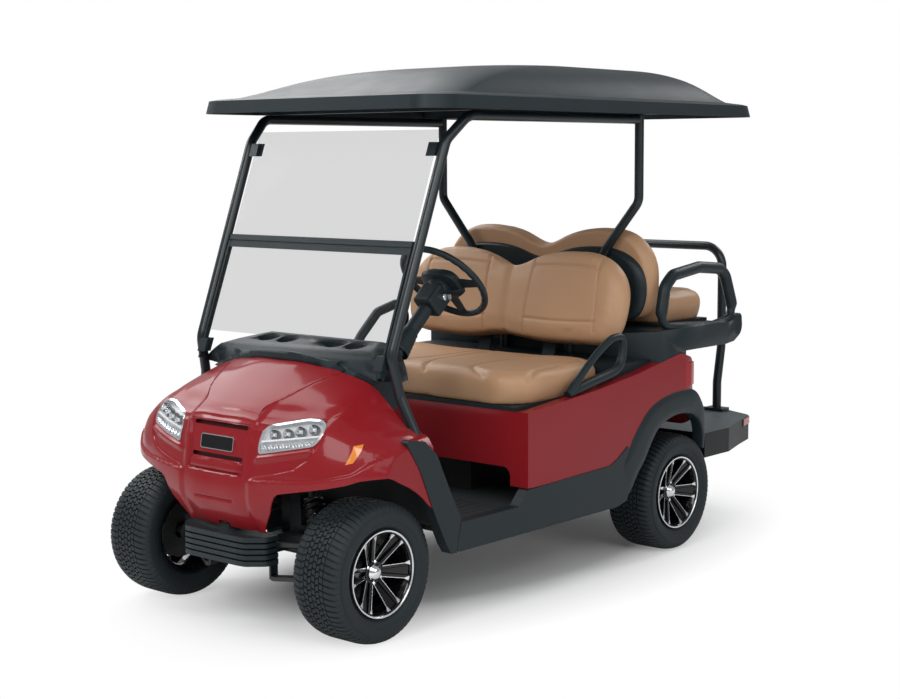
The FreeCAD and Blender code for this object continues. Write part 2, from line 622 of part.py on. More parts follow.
def leaf_spring():
    """A pack of three leaves bowed down to the axle, with eyes, shackles and a seat."""
    x = (rail_inner + v.fit_gap, rail_outer - v.fit_gap)
    middle = v.wheelbase
    half = v.spring_half
    drop = v.spring_eye_height - v.spring_seat_height - v.spring_leaf * 3
    seat = v.spring_seat_height
    pieces = []
    for number, share in enumerate((0.55, 0.78, 1.0)):
        reach = half * share
        low = seat + v.spring_leaf * number
        rise = drop * share * share
        arc_low = Part.Arc(vec(x[0], middle - reach, low + rise), vec(x[0], middle, low),
                           vec(x[0], middle + reach, low + rise)).toShape()
        arc_high = Part.Arc(vec(x[0], middle + reach, low + rise + v.spring_leaf),
                            vec(x[0], middle, low + v.spring_leaf),
                            vec(x[0], middle - reach, low + rise + v.spring_leaf)).toShape()
        end_a = Part.LineSegment(vec(x[0], middle + reach, low + rise),
                                 vec(x[0], middle + reach, low + rise + v.spring_leaf)).toShape()
        end_b = Part.LineSegment(vec(x[0], middle - reach, low + rise + v.spring_leaf),
                                 vec(x[0], middle - reach, low + rise)).toShape()
        pieces.append(Part.Face(Part.Wire([arc_low, end_a, arc_high, end_b])).extrude(vec(x[1] - x[0], 0, 0)))
    for side in (-1, 1):
        eye_centre = vec(x[0], middle + side * half, v.spring_eye_height)
        pieces.append(rod(eye_centre, eye_centre + vec(x[1] - x[0], 0, 0), v.spring_eye_radius))
        end = middle + side * half
        pieces.append(block(x, (end - v.shackle_thickness, end + v.shackle_thickness),
                            (v.spring_eye_height, v.rear_rail_bottom - v.fit_gap)))
    pieces.append(block(x, (middle - v.spring_width / 2, middle + v.spring_width / 2),
                        (axle_height + v.axle_tube_radius + v.fit_gap, seat + v.spring_leaf * 4)))
    return joined(*pieces)


def rear_damper():
    foot = vec(v.rear_damper_x, v.wheelbase - v.spring_width, axle_height + v.axle_tube_radius)
    top = vec(v.rear_damper_x, v.wheelbase - v.spring_width * 3, v.rear_damper_top)
    span = top - foot
    body = rod(foot, foot + span * 0.55, v.rear_damper_radius)
    rod_piece = rod(foot, top, v.damper_rod_radius)
    lug = block((v.rear_damper_x, rail_inner - v.fit_gap),
                (top.y - v.damper_rod_radius, top.y + v.damper_rod_radius),
                (top.z - v.damper_rod_radius * 2, top.z))
    low_lug = block((v.rear_damper_x - v.damper_rod_radius, v.rear_damper_x + v.damper_rod_radius),
                    (v.wheelbase - v.spring_width, v.wheelbase),
                    (axle_height + v.axle_tube_radius + v.fit_gap, foot.z + v.damper_rod_radius * 2))
    return joined(body, rod_piece, lug, low_lug)


shaped("rear_axle", rear_axle())
shaped("rear_suspension", Part.makeCompound([pair(leaf_spring()), pair(rear_damper())]))

# Battery pack under the front seat: one plain closed block that stands on the floor pan

battery = doc.addObject("Part::Box", "battery")
battery.setExpression("Length", "2 * Sizes.battery_half_width")
battery.setExpression("Width", "Sizes.battery_length")
battery.setExpression("Height", "Sizes.battery_height")
keep(battery, "battery_pack", "-Sizes.battery_half_width",
     f"{station_shift} + Sizes.battery_station", "Sizes.floor_top + Sizes.fit_gap")

# Floor pan with its sloping toe board


def floor_pan():
    top = v.floor_top
    low = rail_top + v.fit_gap
    thick = top - low
    pan = prism([(v.floor_front, low), (v.floor_rear, low), (v.floor_rear, top),
                 (v.floor_front + thick / 2, top), (v.toe_top_station + thick, v.toe_top),
                 (v.toe_top_station, v.toe_top), (v.floor_front - thick / 2, low + thick / 3)],
                "YZ", v.fit_gap - v.rocker_inner, v.rocker_inner - v.fit_gap)
    reach = v.rocker_half_width - v.rocker_wall - v.fit_gap
    wings = block((-reach, reach), (v.floor_front + thick, v.floor_rear), (low, top))
    return joined(pan, wings)


shaped("floor_pan", floor_pan())


def channel(points, low, high, wall):
    """A moulding open on its inboard side: the outline with a wall all round and outside."""
    skin = prism(points, "YZ", low, high)
    inner = Part.Face(outline(points, "YZ", low - wall).makeOffset2D(-wall, 0, False, False, True))
    return skin.cut(inner.extrude(vec(high - low, 0, 0)))


# The two front struts and the raked plane of the screen

def front_strut(grow=0.0):
    """From inside the pillar base, up beside the screen and back along the roof's edge."""
    points = [vec(v.strut_foot_x, v.strut_foot_station, v.strut_foot_height),
              vec(v.strut_low_x, v.strut_low_station, v.strut_low_height),
              vec(v.strut_knee_x, v.strut_knee_station, v.strut_knee_height),
              vec(v.strut_brow_x, v.strut_brow_station, v.strut_brow_height),
              vec(v.rear_strut_x, v.strut_top_station, v.strut_top_height),
              vec(v.rear_strut_x, v.rear_strut_station - v.strut_radius - v.fit_gap, v.strut_top_height)]
    return pipe(points, v.strut_bend, v.strut_radius + grow)


def screen_point(height):
    """The station of the struts' raked line at a height."""
    share = (height - v.strut_knee_height) / (v.strut_brow_height - v.strut_knee_height)
    return v.strut_knee_station + (v.strut_brow_station - v.strut_knee_station) * share


def raked(low, high, half_x, thickness, inner_x=None):
    """A flat piece lying in the raked plane between two heights."""
    sides = [(screen_point(low) - thickness / 2, low), (screen_point(low) + thickness / 2, low),
             (screen_point(high) + thickness / 2, high), (screen_point(high) - thickness / 2, high)]
    return prism(sides, "YZ", -half_x if inner_x is None else inner_x, half_x)


def pane_slot():
    """Room for the lower pane in the mouldings that it dips into."""
    low = v.pane_low - v.fit_gap
    return raked(low, v.pane_split, v.pane_half_width + v.fit_gap, v.pane_thickness + 2 * v.fit_gap)


# Rockers and pillar bases

rocker_shares = [(0, 0, 0.3), (0.907, 0, 0.5), (0.974, 0.067, 0.5), (1, 0.484, 1), (0.982, 1, 0.2),
                 (0.918, 0.822, 1), (0.867, 0.724, 1), (0.376, 0.667, 0.5), (0.326, 0.436, 0.5),
                 (0.023, 0.436)]
pillar_shares = [(0.815, 0, 0.2), (0.726, 0.086, 0.5), (0.519, 0.357, 2), (0.256, 0.746, 1.5),
                 (0, 1, 0.25), (0.348, 0.961, 0.3), (0.563, 0.836, 1), (0.793, 0.528, 3)]


def rocker_outline():
    return fitted(rocker_shares, (v.rocker_front, v.rocker_rear), (v.rocker_bottom, v.rocker_top),
                  v.moulding_corner)


def pillar_outline():
    points = fitted(pillar_shares, (v.pillar_front, v.seam_top), (v.rocker_bottom, v.pillar_top),
                    v.moulding_corner)
    seam = v.fit_gap * 2
    return points + [(v.seam_top - seam, v.sill_top + v.moulding_corner / 3),
                     (v.rocker_front - seam, v.rocker_bottom)]


shaped("rocker_panels", pair(channel(rocker_outline(), v.rocker_inner, v.rocker_half_width,
                                     v.rocker_wall)))
strut_room = front_strut(v.fit_gap)
pillar_base = channel(pillar_outline(), v.rocker_inner, v.rocker_half_width, v.rocker_wall)
shaped("pillar_bases", pair(pillar_base.cut(strut_room)))

# Front cowl: a thin moulding with the nose, hood and both fenders in one, open below and behind

cowl_across_shares = (0.0, 0.17, 0.31, 0.42, 0.54, 0.66, 0.79, 0.9, 0.965, 1.0)
# For each place across: station and height shares from the chin up the nose and along the hood
cowl_profile_shares = [
    [(0.11, 0), (0, 0.175), (0.033, 0.43), (0.084, 0.617),
     (0.178, 0.69), (0.44, 0.815), (0.7, 0.927), (1, 1)],
    [(0.117, 0), (0.002, 0.175), (0.033, 0.43), (0.084, 0.618),
     (0.185, 0.688), (0.44, 0.81), (0.705, 0.923), (1, 0.995)],
    [(0.155, 0), (0.03, 0.185), (0.045, 0.43), (0.095, 0.6),
     (0.2, 0.675), (0.445, 0.797), (0.73, 0.907), (1, 0.98)],
    [(0.19, 0), (0.06, 0.195), (0.06, 0.42), (0.125, 0.59),
     (0.235, 0.672), (0.46, 0.788), (0.76, 0.893), (1, 0.955)],
    [(0.22, 0), (0.095, 0.2), (0.085, 0.405), (0.16, 0.58),
     (0.27, 0.675), (0.48, 0.77), (0.79, 0.865), (1, 0.91)],
    [(0.26, 0), (0.145, 0.2), (0.13, 0.39), (0.205, 0.575),
     (0.315, 0.675), (0.5, 0.74), (0.8, 0.815), (1, 0.84)],
    [(0.32, 0), (0.215, 0.2), (0.2, 0.38), (0.25, 0.51),
     (0.34, 0.605), (0.52, 0.66), (0.8, 0.7), (1, 0.7)],
    [(0.39, 0), (0.32, 0.2), (0.305, 0.37), (0.335, 0.46),
     (0.41, 0.54), (0.57, 0.59), (0.82, 0.6), (1, 0.58)],
    [(0.47, 0), (0.415, 0.2), (0.4, 0.36), (0.425, 0.43),
     (0.49, 0.495), (0.63, 0.54), (0.84, 0.545), (1, 0.525)],
    [(0.57, 0), (0.52, 0.2), (0.505, 0.35), (0.525, 0.4),
     (0.575, 0.455), (0.69, 0.49), (0.86, 0.495), (1, 0.48)],
]


def cowl_solid(inset):
    """The filled form of the cowl, drawn in by an inset on every outer face."""
    half = v.cowl_half_width - inset
    wires = []
    for across, profile in zip(cowl_across_shares, cowl_profile_shares):
        points = [(y + inset, z - inset) for y, z in
                  fitted_pairs(profile, (v.nose_station, v.hood_side_rear), (v.cowl_bottom, v.hood_top))]
        points[0] = (points[0][0], v.cowl_bottom)
        for side in (-1, 1) if across else (1,):
            at = side * half * across
            curve = Part.BSplineCurve()
            curve.interpolate([lift("YZ", y, z, at) for y, z in points])
            edges = [curve.toShape()]
            base = [points[-1], (points[-1][0], v.cowl_bottom), points[0]]
            for start, end in zip(base, base[1:]):
                edges.append(Part.LineSegment(lift("YZ", *start, at), lift("YZ", *end, at)).toShape())
            wires.append((at, Part.Wire(edges)))
    wires.sort(key=lambda item: item[0])
    return Part.makeLoft([wire for at, wire in wires], True, False)


hood_edge_shares = [(0, 0), (0.25, 0.055), (0.5, 0.19), (0.75, 0.33), (0.9, 0.36)]
arch_shares = [(-1.1, 1), (-0.05, 0.984, 0.5), (0.25, 0.9, 1), (0.6, 0.775, 1), (0.83, 0.647, 1),
               (1, 0.556), (1, 0.0), (-1.1, 0.0)]
chin_shares = [(0, 0), (0.45, 0.58, 1), (1, 1), (1, -0.8), (0, -0.8)]


def hood_edge(rear):
    """The plan curve of the hood's rear edge, moved rearward by a distance."""
    run = v.hood_side_rear - v.hood_rear
    return [(v.cowl_half_width * a, v.hood_rear + run * b * 1.6 + rear) for a, b in hood_edge_shares]


def plan_band(front, rear, low, high):
    """What lies between the hood's rear edge moved to two places."""
    solids = []
    for shift in (front, rear):
        side = hood_edge(shift)
        points = [(-x, y) for x, y in reversed(side[1:])] + side
        far = v.hood_side_rear + v.overrun * 4
        solids.append(curved(points, [(points[-1][0], far), (points[0][0], far)], "XY", low, high))
    return solids[0].cut(solids[1])


def front_cowl():
    outer = cowl_solid(0.0)
    inner = cowl_solid(v.cowl_wall)
    inner.translate(vec(0, 0, -v.cowl_wall))
    skin = outer.cut(inner)
    side = hood_edge(0)
    points = [(-x, y) for x, y in reversed(side[1:])] + side
    far = v.hood_side_rear + v.overrun
    behind = curved(points, [(points[-1][0], far), (points[0][0], far)], "XY",
                    v.pillar_top + v.fit_gap, v.overall_height / 2)
    reach = v.cowl_half_width - v.cowl_wall
    rear_open = block((-reach, reach), (v.hood_side_rear - v.cowl_wall * 2, far),
                      (v.cowl_bottom - v.overrun, v.overall_height / 2))
    arch = fitted(arch_shares, (0, v.hood_side_rear), (axle_height, v.arch_height), v.moulding_corner)
    arches = pair(prism(arch, "YZ", v.arch_inner, v.cowl_half_width + v.overrun))
    chin = fitted(chin_shares, (v.chin_half, v.arch_inner),
                  (v.cowl_bottom, v.arch_height - v.moulding_corner), v.moulding_corner)
    chins = pair(prism(chin, "XZ", v.nose_station - v.overrun, v.hood_side_rear + v.overrun))
    pillar = Part.Face(outline(pillar_outline(), "YZ", v.rocker_inner - v.overrun)
                       .makeOffset2D(v.fit_gap * 2, 0, False, False, True))
    pillars = pair(pillar.extrude(vec(v.overrun * 3, 0, 0)))
    skin = skin.cut([behind, rear_open, arches, chins, pillars])
    for half, height in ((v.slot_half, v.slot_height), (v.low_slot_half, v.low_slot_height)):
        skin = skin.cut(block((-half, half), (v.nose_station - v.overrun, v.crease_station + v.overrun / 2),
                              (height - v.slot_depth / 2, height + v.slot_depth / 2)))
    return skin.cut([pair(lamp_prism(v.fit_gap)), pair(strut_room), pane_slot()])


lamp_shares = [(0, 0.02), (0.07, 0.65), (0.33, 0.83), (0.88, 1), (1, 0.86), (0.87, 0.36), (0.53, 0.15)]


def lamp_prism(grow):
    points = fitted(lamp_shares, (v.lamp_inner, v.lamp_outer), (v.lamp_bottom, v.lamp_top))
    face = outline(points, "XZ", v.nose_station - v.overrun)
    if grow:
        face = face.makeOffset2D(grow, 0, False, False, True)
    return Part.Face(face).extrude(vec(0, v.overrun * 4, 0))


def headlight():
    """A sealed lamp unit whose lens lies flush with the cowl."""
    whole = lamp_prism(0).common(cowl_solid(0.0))
    back = cowl_solid(v.lamp_depth)
    return whole.cut(back)


cowl = shaped("front_cowl", front_cowl())
shaped("headlights", pair(headlight()))


def front_bumper():
    front = -v.front_overhang
    rear = v.front_rail_start - v.fit_gap
    plan = fitted(bumper_shares, (0, v.bumper_wrap_half), (front, rear), v.overrun)
    whole = prism(plan + [(-x, y, r) for x, y, r in reversed(plan)], "XY", v.bumper_bottom, v.bumper_top)
    spacing = (v.bumper_top - v.bumper_bottom) / (v.bumper_ribs + 1)
    inner = prism([(x * 0.94, y + v.bumper_groove_depth, r) for x, y, r in plan]
                  + [(-x * 0.94, y + v.bumper_groove_depth, r) for x, y, r in reversed(plan)],
                  "XY", v.bumper_bottom, v.bumper_top)
    for number in range(1, int(v.bumper_ribs) + 1):
        middle = v.bumper_bottom + spacing * number
        slot = block((-v.bumper_wrap_half, v.bumper_wrap_half), (front, rear),
                     (middle - v.bumper_groove / 2, middle + v.bumper_groove / 2)).cut(inner)
        whole = whole.cut(slot)
    lip = prism([(-v.tow_lip_half, front + v.overrun / 2, v.tow_lip_corner),
                 (v.tow_lip_half, front + v.overrun / 2, v.tow_lip_corner),
                 (v.tow_lip_half, rear), (-v.tow_lip_half, rear)], "XY",
                v.bumper_bottom - v.tow_lip_drop / 2, v.bumper_bottom)
    hole = rod(vec(0, front + v.overrun * 0.8, v.bumper_bottom - v.tow_lip_drop),
               vec(0, front + v.overrun * 0.8, v.bumper_bottom), v.tow_hole_radius)
    return whole.fuse(lip.cut(hole)).removeSplitter()


bumper_shares = [(0.55, 0, 0.4), (0.72, 0.04, 0.4), (1, 0.5, 0.5), (0.98, 1, 0.1)]
shaped("front_bumper", front_bumper())

# Trim bow along the hood's rear edge, and the dashboard behind it

bow_shares = [(0, 1.0), (0.25, 0.965), (0.5, 0.86), (0.75, 0.68), (0.9, 0.46)]


def bow_curve(half, base, top):
    points = [(half * a, base + (top - base) * b) for a, b in bow_shares]
    return [(-x, z) for x, z in reversed(points[1:])] + points


def under_bow(drop, low, front, rear):
    """Everything under the bow's arch, lowered by a drop."""
    points = [(x, z - drop) for x, z in bow_curve(v.cowl_half_width, v.bow_base, v.bow_top)]
    return curved(points, [(points[-1][0], low), (points[0][0], low)], "XZ", front, rear)


def cowl_trim():
    band = under_bow(0, v.dash_bottom, 0, v.dash_rear).cut(
        under_bow(v.trim_height, v.dash_bottom - v.overrun, -v.overrun, v.dash_rear + v.overrun))
    strip = band.common(plan_band(v.fit_gap, v.trim_depth, v.cowl_bottom, v.overall_height / 2))
    return strip.common(block((-v.trim_half, v.trim_half), (0, v.dash_rear), (v.cowl_bottom, v.overall_height)))


dash_shares = [(0, 0.78), (0.45, 0.92, 1), (0.93, 1, 0.6), (1, 0.9, 0.6), (0.95, 0.25, 1), (0.6, 0, 0.6),
               (0, 0)]


def column_point(distance):
    """A point on the steering column's line, measured down from the wheel's centre."""
    angle = math.radians(v.column_angle)
    return vec(v.wheel_x, v.wheel_station - distance * math.cos(angle),
               v.wheel_height - distance * math.sin(angle))


shaft_start = column_point(v.column_start + v.column_length)
shaft_end = vec(v.pinion_x, v.rack_station, v.rack_height + v.rack_housing_radius)


def dashboard():
    front = v.hood_rear + v.trim_depth
    profile = fitted(dash_shares, (front, v.dash_rear), (v.dash_bottom, v.dash_height), v.moulding_corner)
    whole = prism(profile, "YZ", -v.dash_half_width, v.dash_half_width)
    raised = v.dash_height - v.bow_top + v.trim_height
    whole = whole.common(under_bow(-raised, v.cowl_bottom, 0, v.dash_rear + v.overrun))
    behind = plan_band(v.trim_depth, v.dash_rear, v.cowl_bottom, v.overall_height)
    whole = whole.common(behind)
    cups = []
    for middle in (-v.cup_spread - v.cup_pair, -v.cup_spread, v.cup_spread, v.cup_spread + v.cup_pair):
        place = vec(middle, v.cup_station, v.dash_height - v.cup_depth - v.moulding_corner / 2)
        cups.append(Part.makeCylinder(v.cup_radius, v.cup_depth * 2, place))
    channel_rod = rod(column_point(0), shaft_start, v.column_radius + v.rack_gap)
    shaft_rod = rod(shaft_start, shaft_end, v.shaft_radius + v.rack_gap)
    return whole.fuse(cowl_trim()).cut(cups + [channel_rod, shaft_rod, pair(strut_room), pane_slot()])


shaped("dashboard", dashboard())


def steering_column():
    """The jacket under the wheel, its switch pod and key, the shaft and the steering gear."""
    jacket = rod(column_point(v.column_start), shaft_start, v.column_radius)
    shaft = rod(shaft_start, shaft_end, v.shaft_radius)
    pod = block((-v.pod_width / 2, v.pod_width / 2), (-v.pod_height / 2, v.pod_height / 2),
                (0, v.pod_length))
    pod = pod.makeFillet(v.pod_width / 6, pod.Edges)
    pod.rotate(vec(0, 0, 0), vec(1, 0, 0), 90 + v.column_angle)
    pod.translate(column_point(v.column_start * 1.6))
    key_start = column_point(v.column_start + v.pod_length * 0.6)
    key = rod(key_start, key_start + vec(v.pod_width * 0.1, v.pod_height * 0.75, 0), v.shaft_radius)
    tip = rod(column_point(v.column_start + v.shaft_tip_depth), column_point(v.shaft_tip_depth), v.shaft_radius)
    return joined(jacket, shaft, pod, key, tip, rack_housing())


def steering_wheel():
    """Modelled square to its axis, then tilted with the column."""
    rim = Part.makeTorus(v.wheel_ring_radius, v.wheel_ring_thickness)
    hub = Part.makeCylinder(v.wheel_hub_radius, v.wheel_hub_depth, vec(0, 0, -v.wheel_hub_depth * 0.7))
    pieces = [rim, hub]
    for angle in (0, 180, 270):
        spoke = block((0, v.wheel_ring_radius), (-v.wheel_spoke_width / 2, v.wheel_spoke_width / 2),
                      (-v.wheel_spoke_thickness / 2, v.wheel_spoke_thickness / 2))
        spoke.rotate(vec(0, 0, 0), vec(0, 0, 1), angle)
        pieces.append(spoke)
    wheel_shape = joined(*pieces)
    wheel_shape.rotate(vec(0, 0, 0), vec(1, 0, 0), v.column_angle - 90)
    wheel_shape.translate(column_point(0))
    bore = rod(column_point(v.wheel_hub_depth), column_point(v.shaft_tip_depth - v.rack_gap),
               v.shaft_radius + v.fit_gap)
    return wheel_shape.cut(bore)


shaped("steering_column", steering_column())
shaped("steering_wheel", steering_wheel())


# Windscreen: two panes and their bars between the struts


def rear_strut():
    low_x = v.rear_strut_low_x
    points = [vec(v.rear_strut_x, v.rear_strut_station, v.strut_top_height + v.strut_radius),
              vec(v.rear_strut_x, v.rear_strut_station, v.rear_knee_height),
              vec(low_x, v.rear_strut_station, v.rear_strut_low_height),
              vec(v.rear_strut_foot_x, v.rear_strut_station, v.rear_strut_foot_height)]
    post = vec(v.rear_strut_foot_x, v.rear_strut_station, v.deck_height + v.fit_gap)
    return pipe(points + [post], v.rear_strut_bend, v.strut_radius)


shaped("front_struts", pair(front_strut()))
shaped("rear_struts", pair(rear_strut()))


def windscreen_panes():
    gap = v.crossbar_depth / 2 + v.fit_gap
    lower = raked(v.pane_low, v.pane_split - gap, v.pane_half_width, v.pane_thickness)
    upper = raked(v.pane_split + gap, v.pane_top, v.pane_half_width, v.pane_thickness)
    return Part.makeCompound([lower, upper])


def windscreen_frame():
    """The double crossbar, the lower pane's side channels and the clips on the struts."""
    inside = v.pane_half_width + v.fit_gap
    reach = v.strut_knee_x - v.strut_radius - v.fit_gap
    half = v.crossbar_depth / 2
    bar = raked(v.pane_split - half, v.pane_split + half, reach - v.channel_width / 4,
                v.crossbar_thickness)
    groove = raked(v.pane_split - half / 6, v.pane_split + half / 6, reach, v.crossbar_thickness)
    groove.translate(vec(0, -v.crossbar_thickness * 0.8, 0))
    side = raked(v.pane_low, v.pane_split, inside + v.channel_width / 2, v.channel_thickness, inside)
    pieces = [side, flip(side)]
    for height in (v.pane_low + v.clamp_length, v.pane_top - v.clamp_length * 1.4):
        clip = raked(height - v.clamp_length / 2, height + v.clamp_length / 2,
                     reach + v.strut_radius * 0.2, v.clamp_depth, v.pane_half_width - v.clamp_length / 2)
        slot = raked(height - v.clamp_length, height + v.clamp_length, v.pane_half_width + v.fit_gap,
                     v.pane_thickness + v.fit_gap * 2, 0)
        clip = clip.cut([slot, strut_room])
        pieces += [clip, flip(clip)]
    return joined(bar.cut(groove), *pieces[:2], *pieces[2:])


shaped("windscreen_panes", windscreen_panes())
shaped("windscreen_frame", windscreen_frame())

# Roof: a vacuum-formed dome over a flat lip, hollow below, with ribs that rest on the rails

roof_level_shares = [
    # height, front, rear, half width and corner
    (0, 0, 1, 1, 1), (0.235, 0.004, 0.996, 0.985, 1), (0.26, 0.014, 0.986, 0.965, 1),
    (0.3, 0.05, 0.957, 0.9, 1.1), (0.46, 0.105, 0.945, 0.83, 1.3), (0.66, 0.17, 0.935, 0.74, 1.6),
    (0.82, 0.255, 0.922, 0.63, 1.8), (0.925, 0.37, 0.9, 0.51, 1.8), (0.98, 0.52, 0.86, 0.36, 1.6),
    (1, 0.66, 0.8, 0.18, 0.7),
]


def roof_form(inset):
    """A dome built up from rounded plan outlines over a flat lip."""
    wires = []
    for level, front, rear, half, corner in roof_level_shares:
        wide = v.roof_half_width * half - inset
        front_at = v.roof_front + (v.roof_rear - v.roof_front) * front + inset
        rear_at = v.roof_front + (v.roof_rear - v.roof_front) * rear - inset
        radius = v.roof_corner * corner - inset
        height = v.roof_bottom + (v.overall_height - v.roof_bottom - inset) * level
        wires.append(outline([(-wide, front_at, radius), (wide, front_at, radius),
                              (wide, rear_at, radius), (-wide, rear_at, radius)], "XY", height))
    lip = Part.makeLoft(wires[:2], True, True)
    step = Part.makeLoft(wires[1:4], True, True)
    dome = Part.makeLoft(wires[3:], True, False)
    return joined(lip, step, dome)


def roof():
    outer = roof_form(0.0)
    inner = roof_form(v.roof_wall)
    shell = outer.cut(inner)
    shell = shell.cut(block((-v.roof_half_width + v.roof_wall, v.roof_half_width - v.roof_wall),
                            (v.roof_front + v.roof_wall, v.roof_rear - v.roof_wall),
                            (v.roof_bottom - v.overrun, v.roof_bottom + v.roof_wall)).common(inner))
    ribs = []
    for station in (v.strut_top_station + v.overrun, v.rear_strut_station):
        rib = block((-v.roof_half_width, v.roof_half_width),
                    (station - v.roof_rib_width / 2, station + v.roof_rib_width / 2),
                    (v.strut_top_height + v.strut_radius + v.fit_gap, v.overall_height))
        ribs.append(rib.common(roof_form(v.roof_wall / 2)))
    return joined(shell, *ribs)


shaped("roof", roof())

# Front seat: a tilting bottom cushion on its board, a leaning back on two posts, and armrests

cushion_shares = [(0, 0.02), (0.3, 0), (0.62, -0.01), (0.88, 0.02), (0.985, 0.14), (1, 0.45),
                  (0.99, 0.84), (0.9, 0.985), (0.5, 1), (0, 0.985)]


def both_sides(points):
    """A half outline from middle to middle, with its other half added."""
    return points + [(-x, y) for x, y in reversed(points[1:-1])]


def front_seat_cushion():
    outline_points = both_sides(fitted_pairs(cushion_shares, (0, v.seat_half_width),
                                             (v.seat_front, v.seat_rear)))
    low = v.board_bottom + v.board_thickness + v.fit_gap
    centre = (0, (v.seat_front + v.seat_rear) / 2)
    depth = v.cushion_top - low
    return pillow(outline_points, "XY", (low, low + depth * 0.45, low + depth * 0.85, v.cushion_top),
                  (0.975, 1, 0.985, 0.93), centre)


back_shares = [(0, 0.04), (0.3, 0.0), (0.7, 0.01), (0.93, 0.1), (1, 0.4), (0.96, 0.72), (0.8, 0.93),
               (0.5, 1), (0.22, 0.93), (0, 0.83)]


def leaning_back(half, front, bottom, top, depth, lean, levels, shares):
    """A two-lobed pad drawn upright, then leaned back about its bottom edge."""
    points = both_sides(fitted_pairs(back_shares, (0, half), (bottom, top)))
    pad = pillow(points, "XZ", [front + depth * level for level in levels], shares,
                 (0, (bottom + top) / 2))
    pad.rotate(vec(0, front, bottom), vec(1, 0, 0), -math.degrees(math.atan2(lean, top - bottom)))
    return pad


def front_seat_back():
    return leaning_back(v.back_half_width, v.back_front, v.back_bottom, v.back_top, v.back_depth,
                        v.back_lean, (0, 0.4, 0.8, 1), (0.93, 1, 0.985, 0.95))


board = doc.addObject("Part::Box", "board")
board.setExpression("Length", "2 * Sizes.seat_half_width - 2 * Sizes.moving_gap")
board.setExpression("Width", "Sizes.seat_rear - Sizes.seat_front - Sizes.moving_gap")
board.setExpression("Height", "Sizes.board_thickness")
keep(board, "front_seat_board", "Sizes.moving_gap - Sizes.seat_half_width",
     f"{station_shift} + Sizes.seat_front + Sizes.moving_gap / 4", "Sizes.board_bottom")
shaped("front_seat_cushion", front_seat_cushion())
shaped("front_seat_back", front_seat_back())


def seat_deck():
    """The deck between the two seats, on its apron, with the posts that carry the front back."""
    reach = v.seat_half_width + v.moving_gap - v.fit_gap
    low = v.body_front_top + v.fit_gap
    deck = block((-reach, reach), (v.deck_front, v.deck_rear), (low, v.deck_height))
    deck = deck.cut(block((v.deck_thickness - reach, reach - v.deck_thickness),
                          (v.deck_front + v.deck_thickness, v.deck_rear + v.overrun),
                          (low, v.deck_height - v.deck_thickness)))
    lean = math.atan2(v.back_lean, v.back_top - v.back_bottom)
    angle = math.degrees(lean)
    back_station = v.back_front + v.back_depth + v.fit_gap * 2
    posts = []
    for side in (-1, 1):
        middle = side * v.post_x
        post = block((middle - v.post_width / 2, middle + v.post_width / 2),
                     (back_station, back_station + v.post_depth / 3),
                     (v.deck_height - v.deck_thickness, v.back_bottom + v.post_depth * 4))
        post.rotate(vec(0, v.back_front, v.back_bottom), vec(1, 0, 0), -angle)
        post = post.common(block((-v.seat_half_width, v.seat_half_width), (v.deck_front, v.deck_rear),
                                 (v.deck_height - v.deck_thickness, v.overall_height)))
        posts.append(post)
    return joined(deck, *posts)


shaped("seat_deck", seat_deck())

arm_shares = [(0, 0), (0.3, 0.36), (0.78, 1), (1, 0.84), (0.84, 0.185), (0.35, 0.08)]
far_arm_shares = [(0, 0), (0.28, 0.512), (0.54, 0.869), (0.902, 1), (1, 0.73), (0.774, 0.135), (0.32, 0.057)]


def loop(shares, across, up, x, bend, radius):
    """A closed hoop of round tube in an upright plane."""
    points = [vec(x, y, z) for y, z in fitted_pairs(shares, across, up)]
    start = (points[0] + points[-1]) * 0.5
    path = [start] + points + [start]
    return pipe(path, bend, radius)


def front_armrests():
    """A hoop along each shoulder of the body, the right one taller to clear the passenger's hip."""
    shoulder = body_form(0.0 - v.fit_gap)
    left = loop(arm_shares, (v.arm_front, v.arm_rear), (v.arm_bottom, v.arm_top), v.arm_x,
                v.arm_bend, v.arm_radius)
    right = loop(far_arm_shares, (v.arm_front, v.far_arm_rear), (v.arm_bottom, v.far_arm_top), v.arm_x,
                 v.arm_bend, v.arm_radius)
    return Part.makeCompound([left.cut(shoulder), flip(right).cut(shoulder)])


# Rear seat: a moulded shell and pad facing rearward, a flip cushion, and a tray with side handles


def rear_seat_back():
    turned_back = leaning_back(v.rear_back_half_width, v.rear_back_front + v.rear_shell_depth + v.fit_gap,
                               v.rear_back_bottom, v.rear_back_top, v.rear_back_depth,
                               0.0, (0, 0.3, 0.7, 1), (0.95, 0.985, 1, 0.93))
    return turned_back


def rear_seat_shell():
    return leaning_back(v.rear_back_half_width * 0.955, v.rear_back_front, v.rear_back_bottom,
                        v.rear_back_top - v.rear_shell_depth * 3, v.rear_shell_depth,
                        0.0, (0, 0.5, 1), (0.93, 0.985, 1))


def rear_seat_cushion():
    points = both_sides(fitted_pairs(cushion_shares, (0, v.rear_cushion_half_width),
                                     (v.rear_cushion_front, v.rear_cushion_rear)))
    low = v.rear_board_bottom + v.rear_board_thickness + v.fit_gap
    depth = v.rear_cushion_top - low
    return pillow(points, "XY", (low, low + depth * 0.45, low + depth * 0.85, v.rear_cushion_top),
                  (0.975, 1, 0.985, 0.92), (0, (v.rear_cushion_front + v.rear_cushion_rear) / 2))


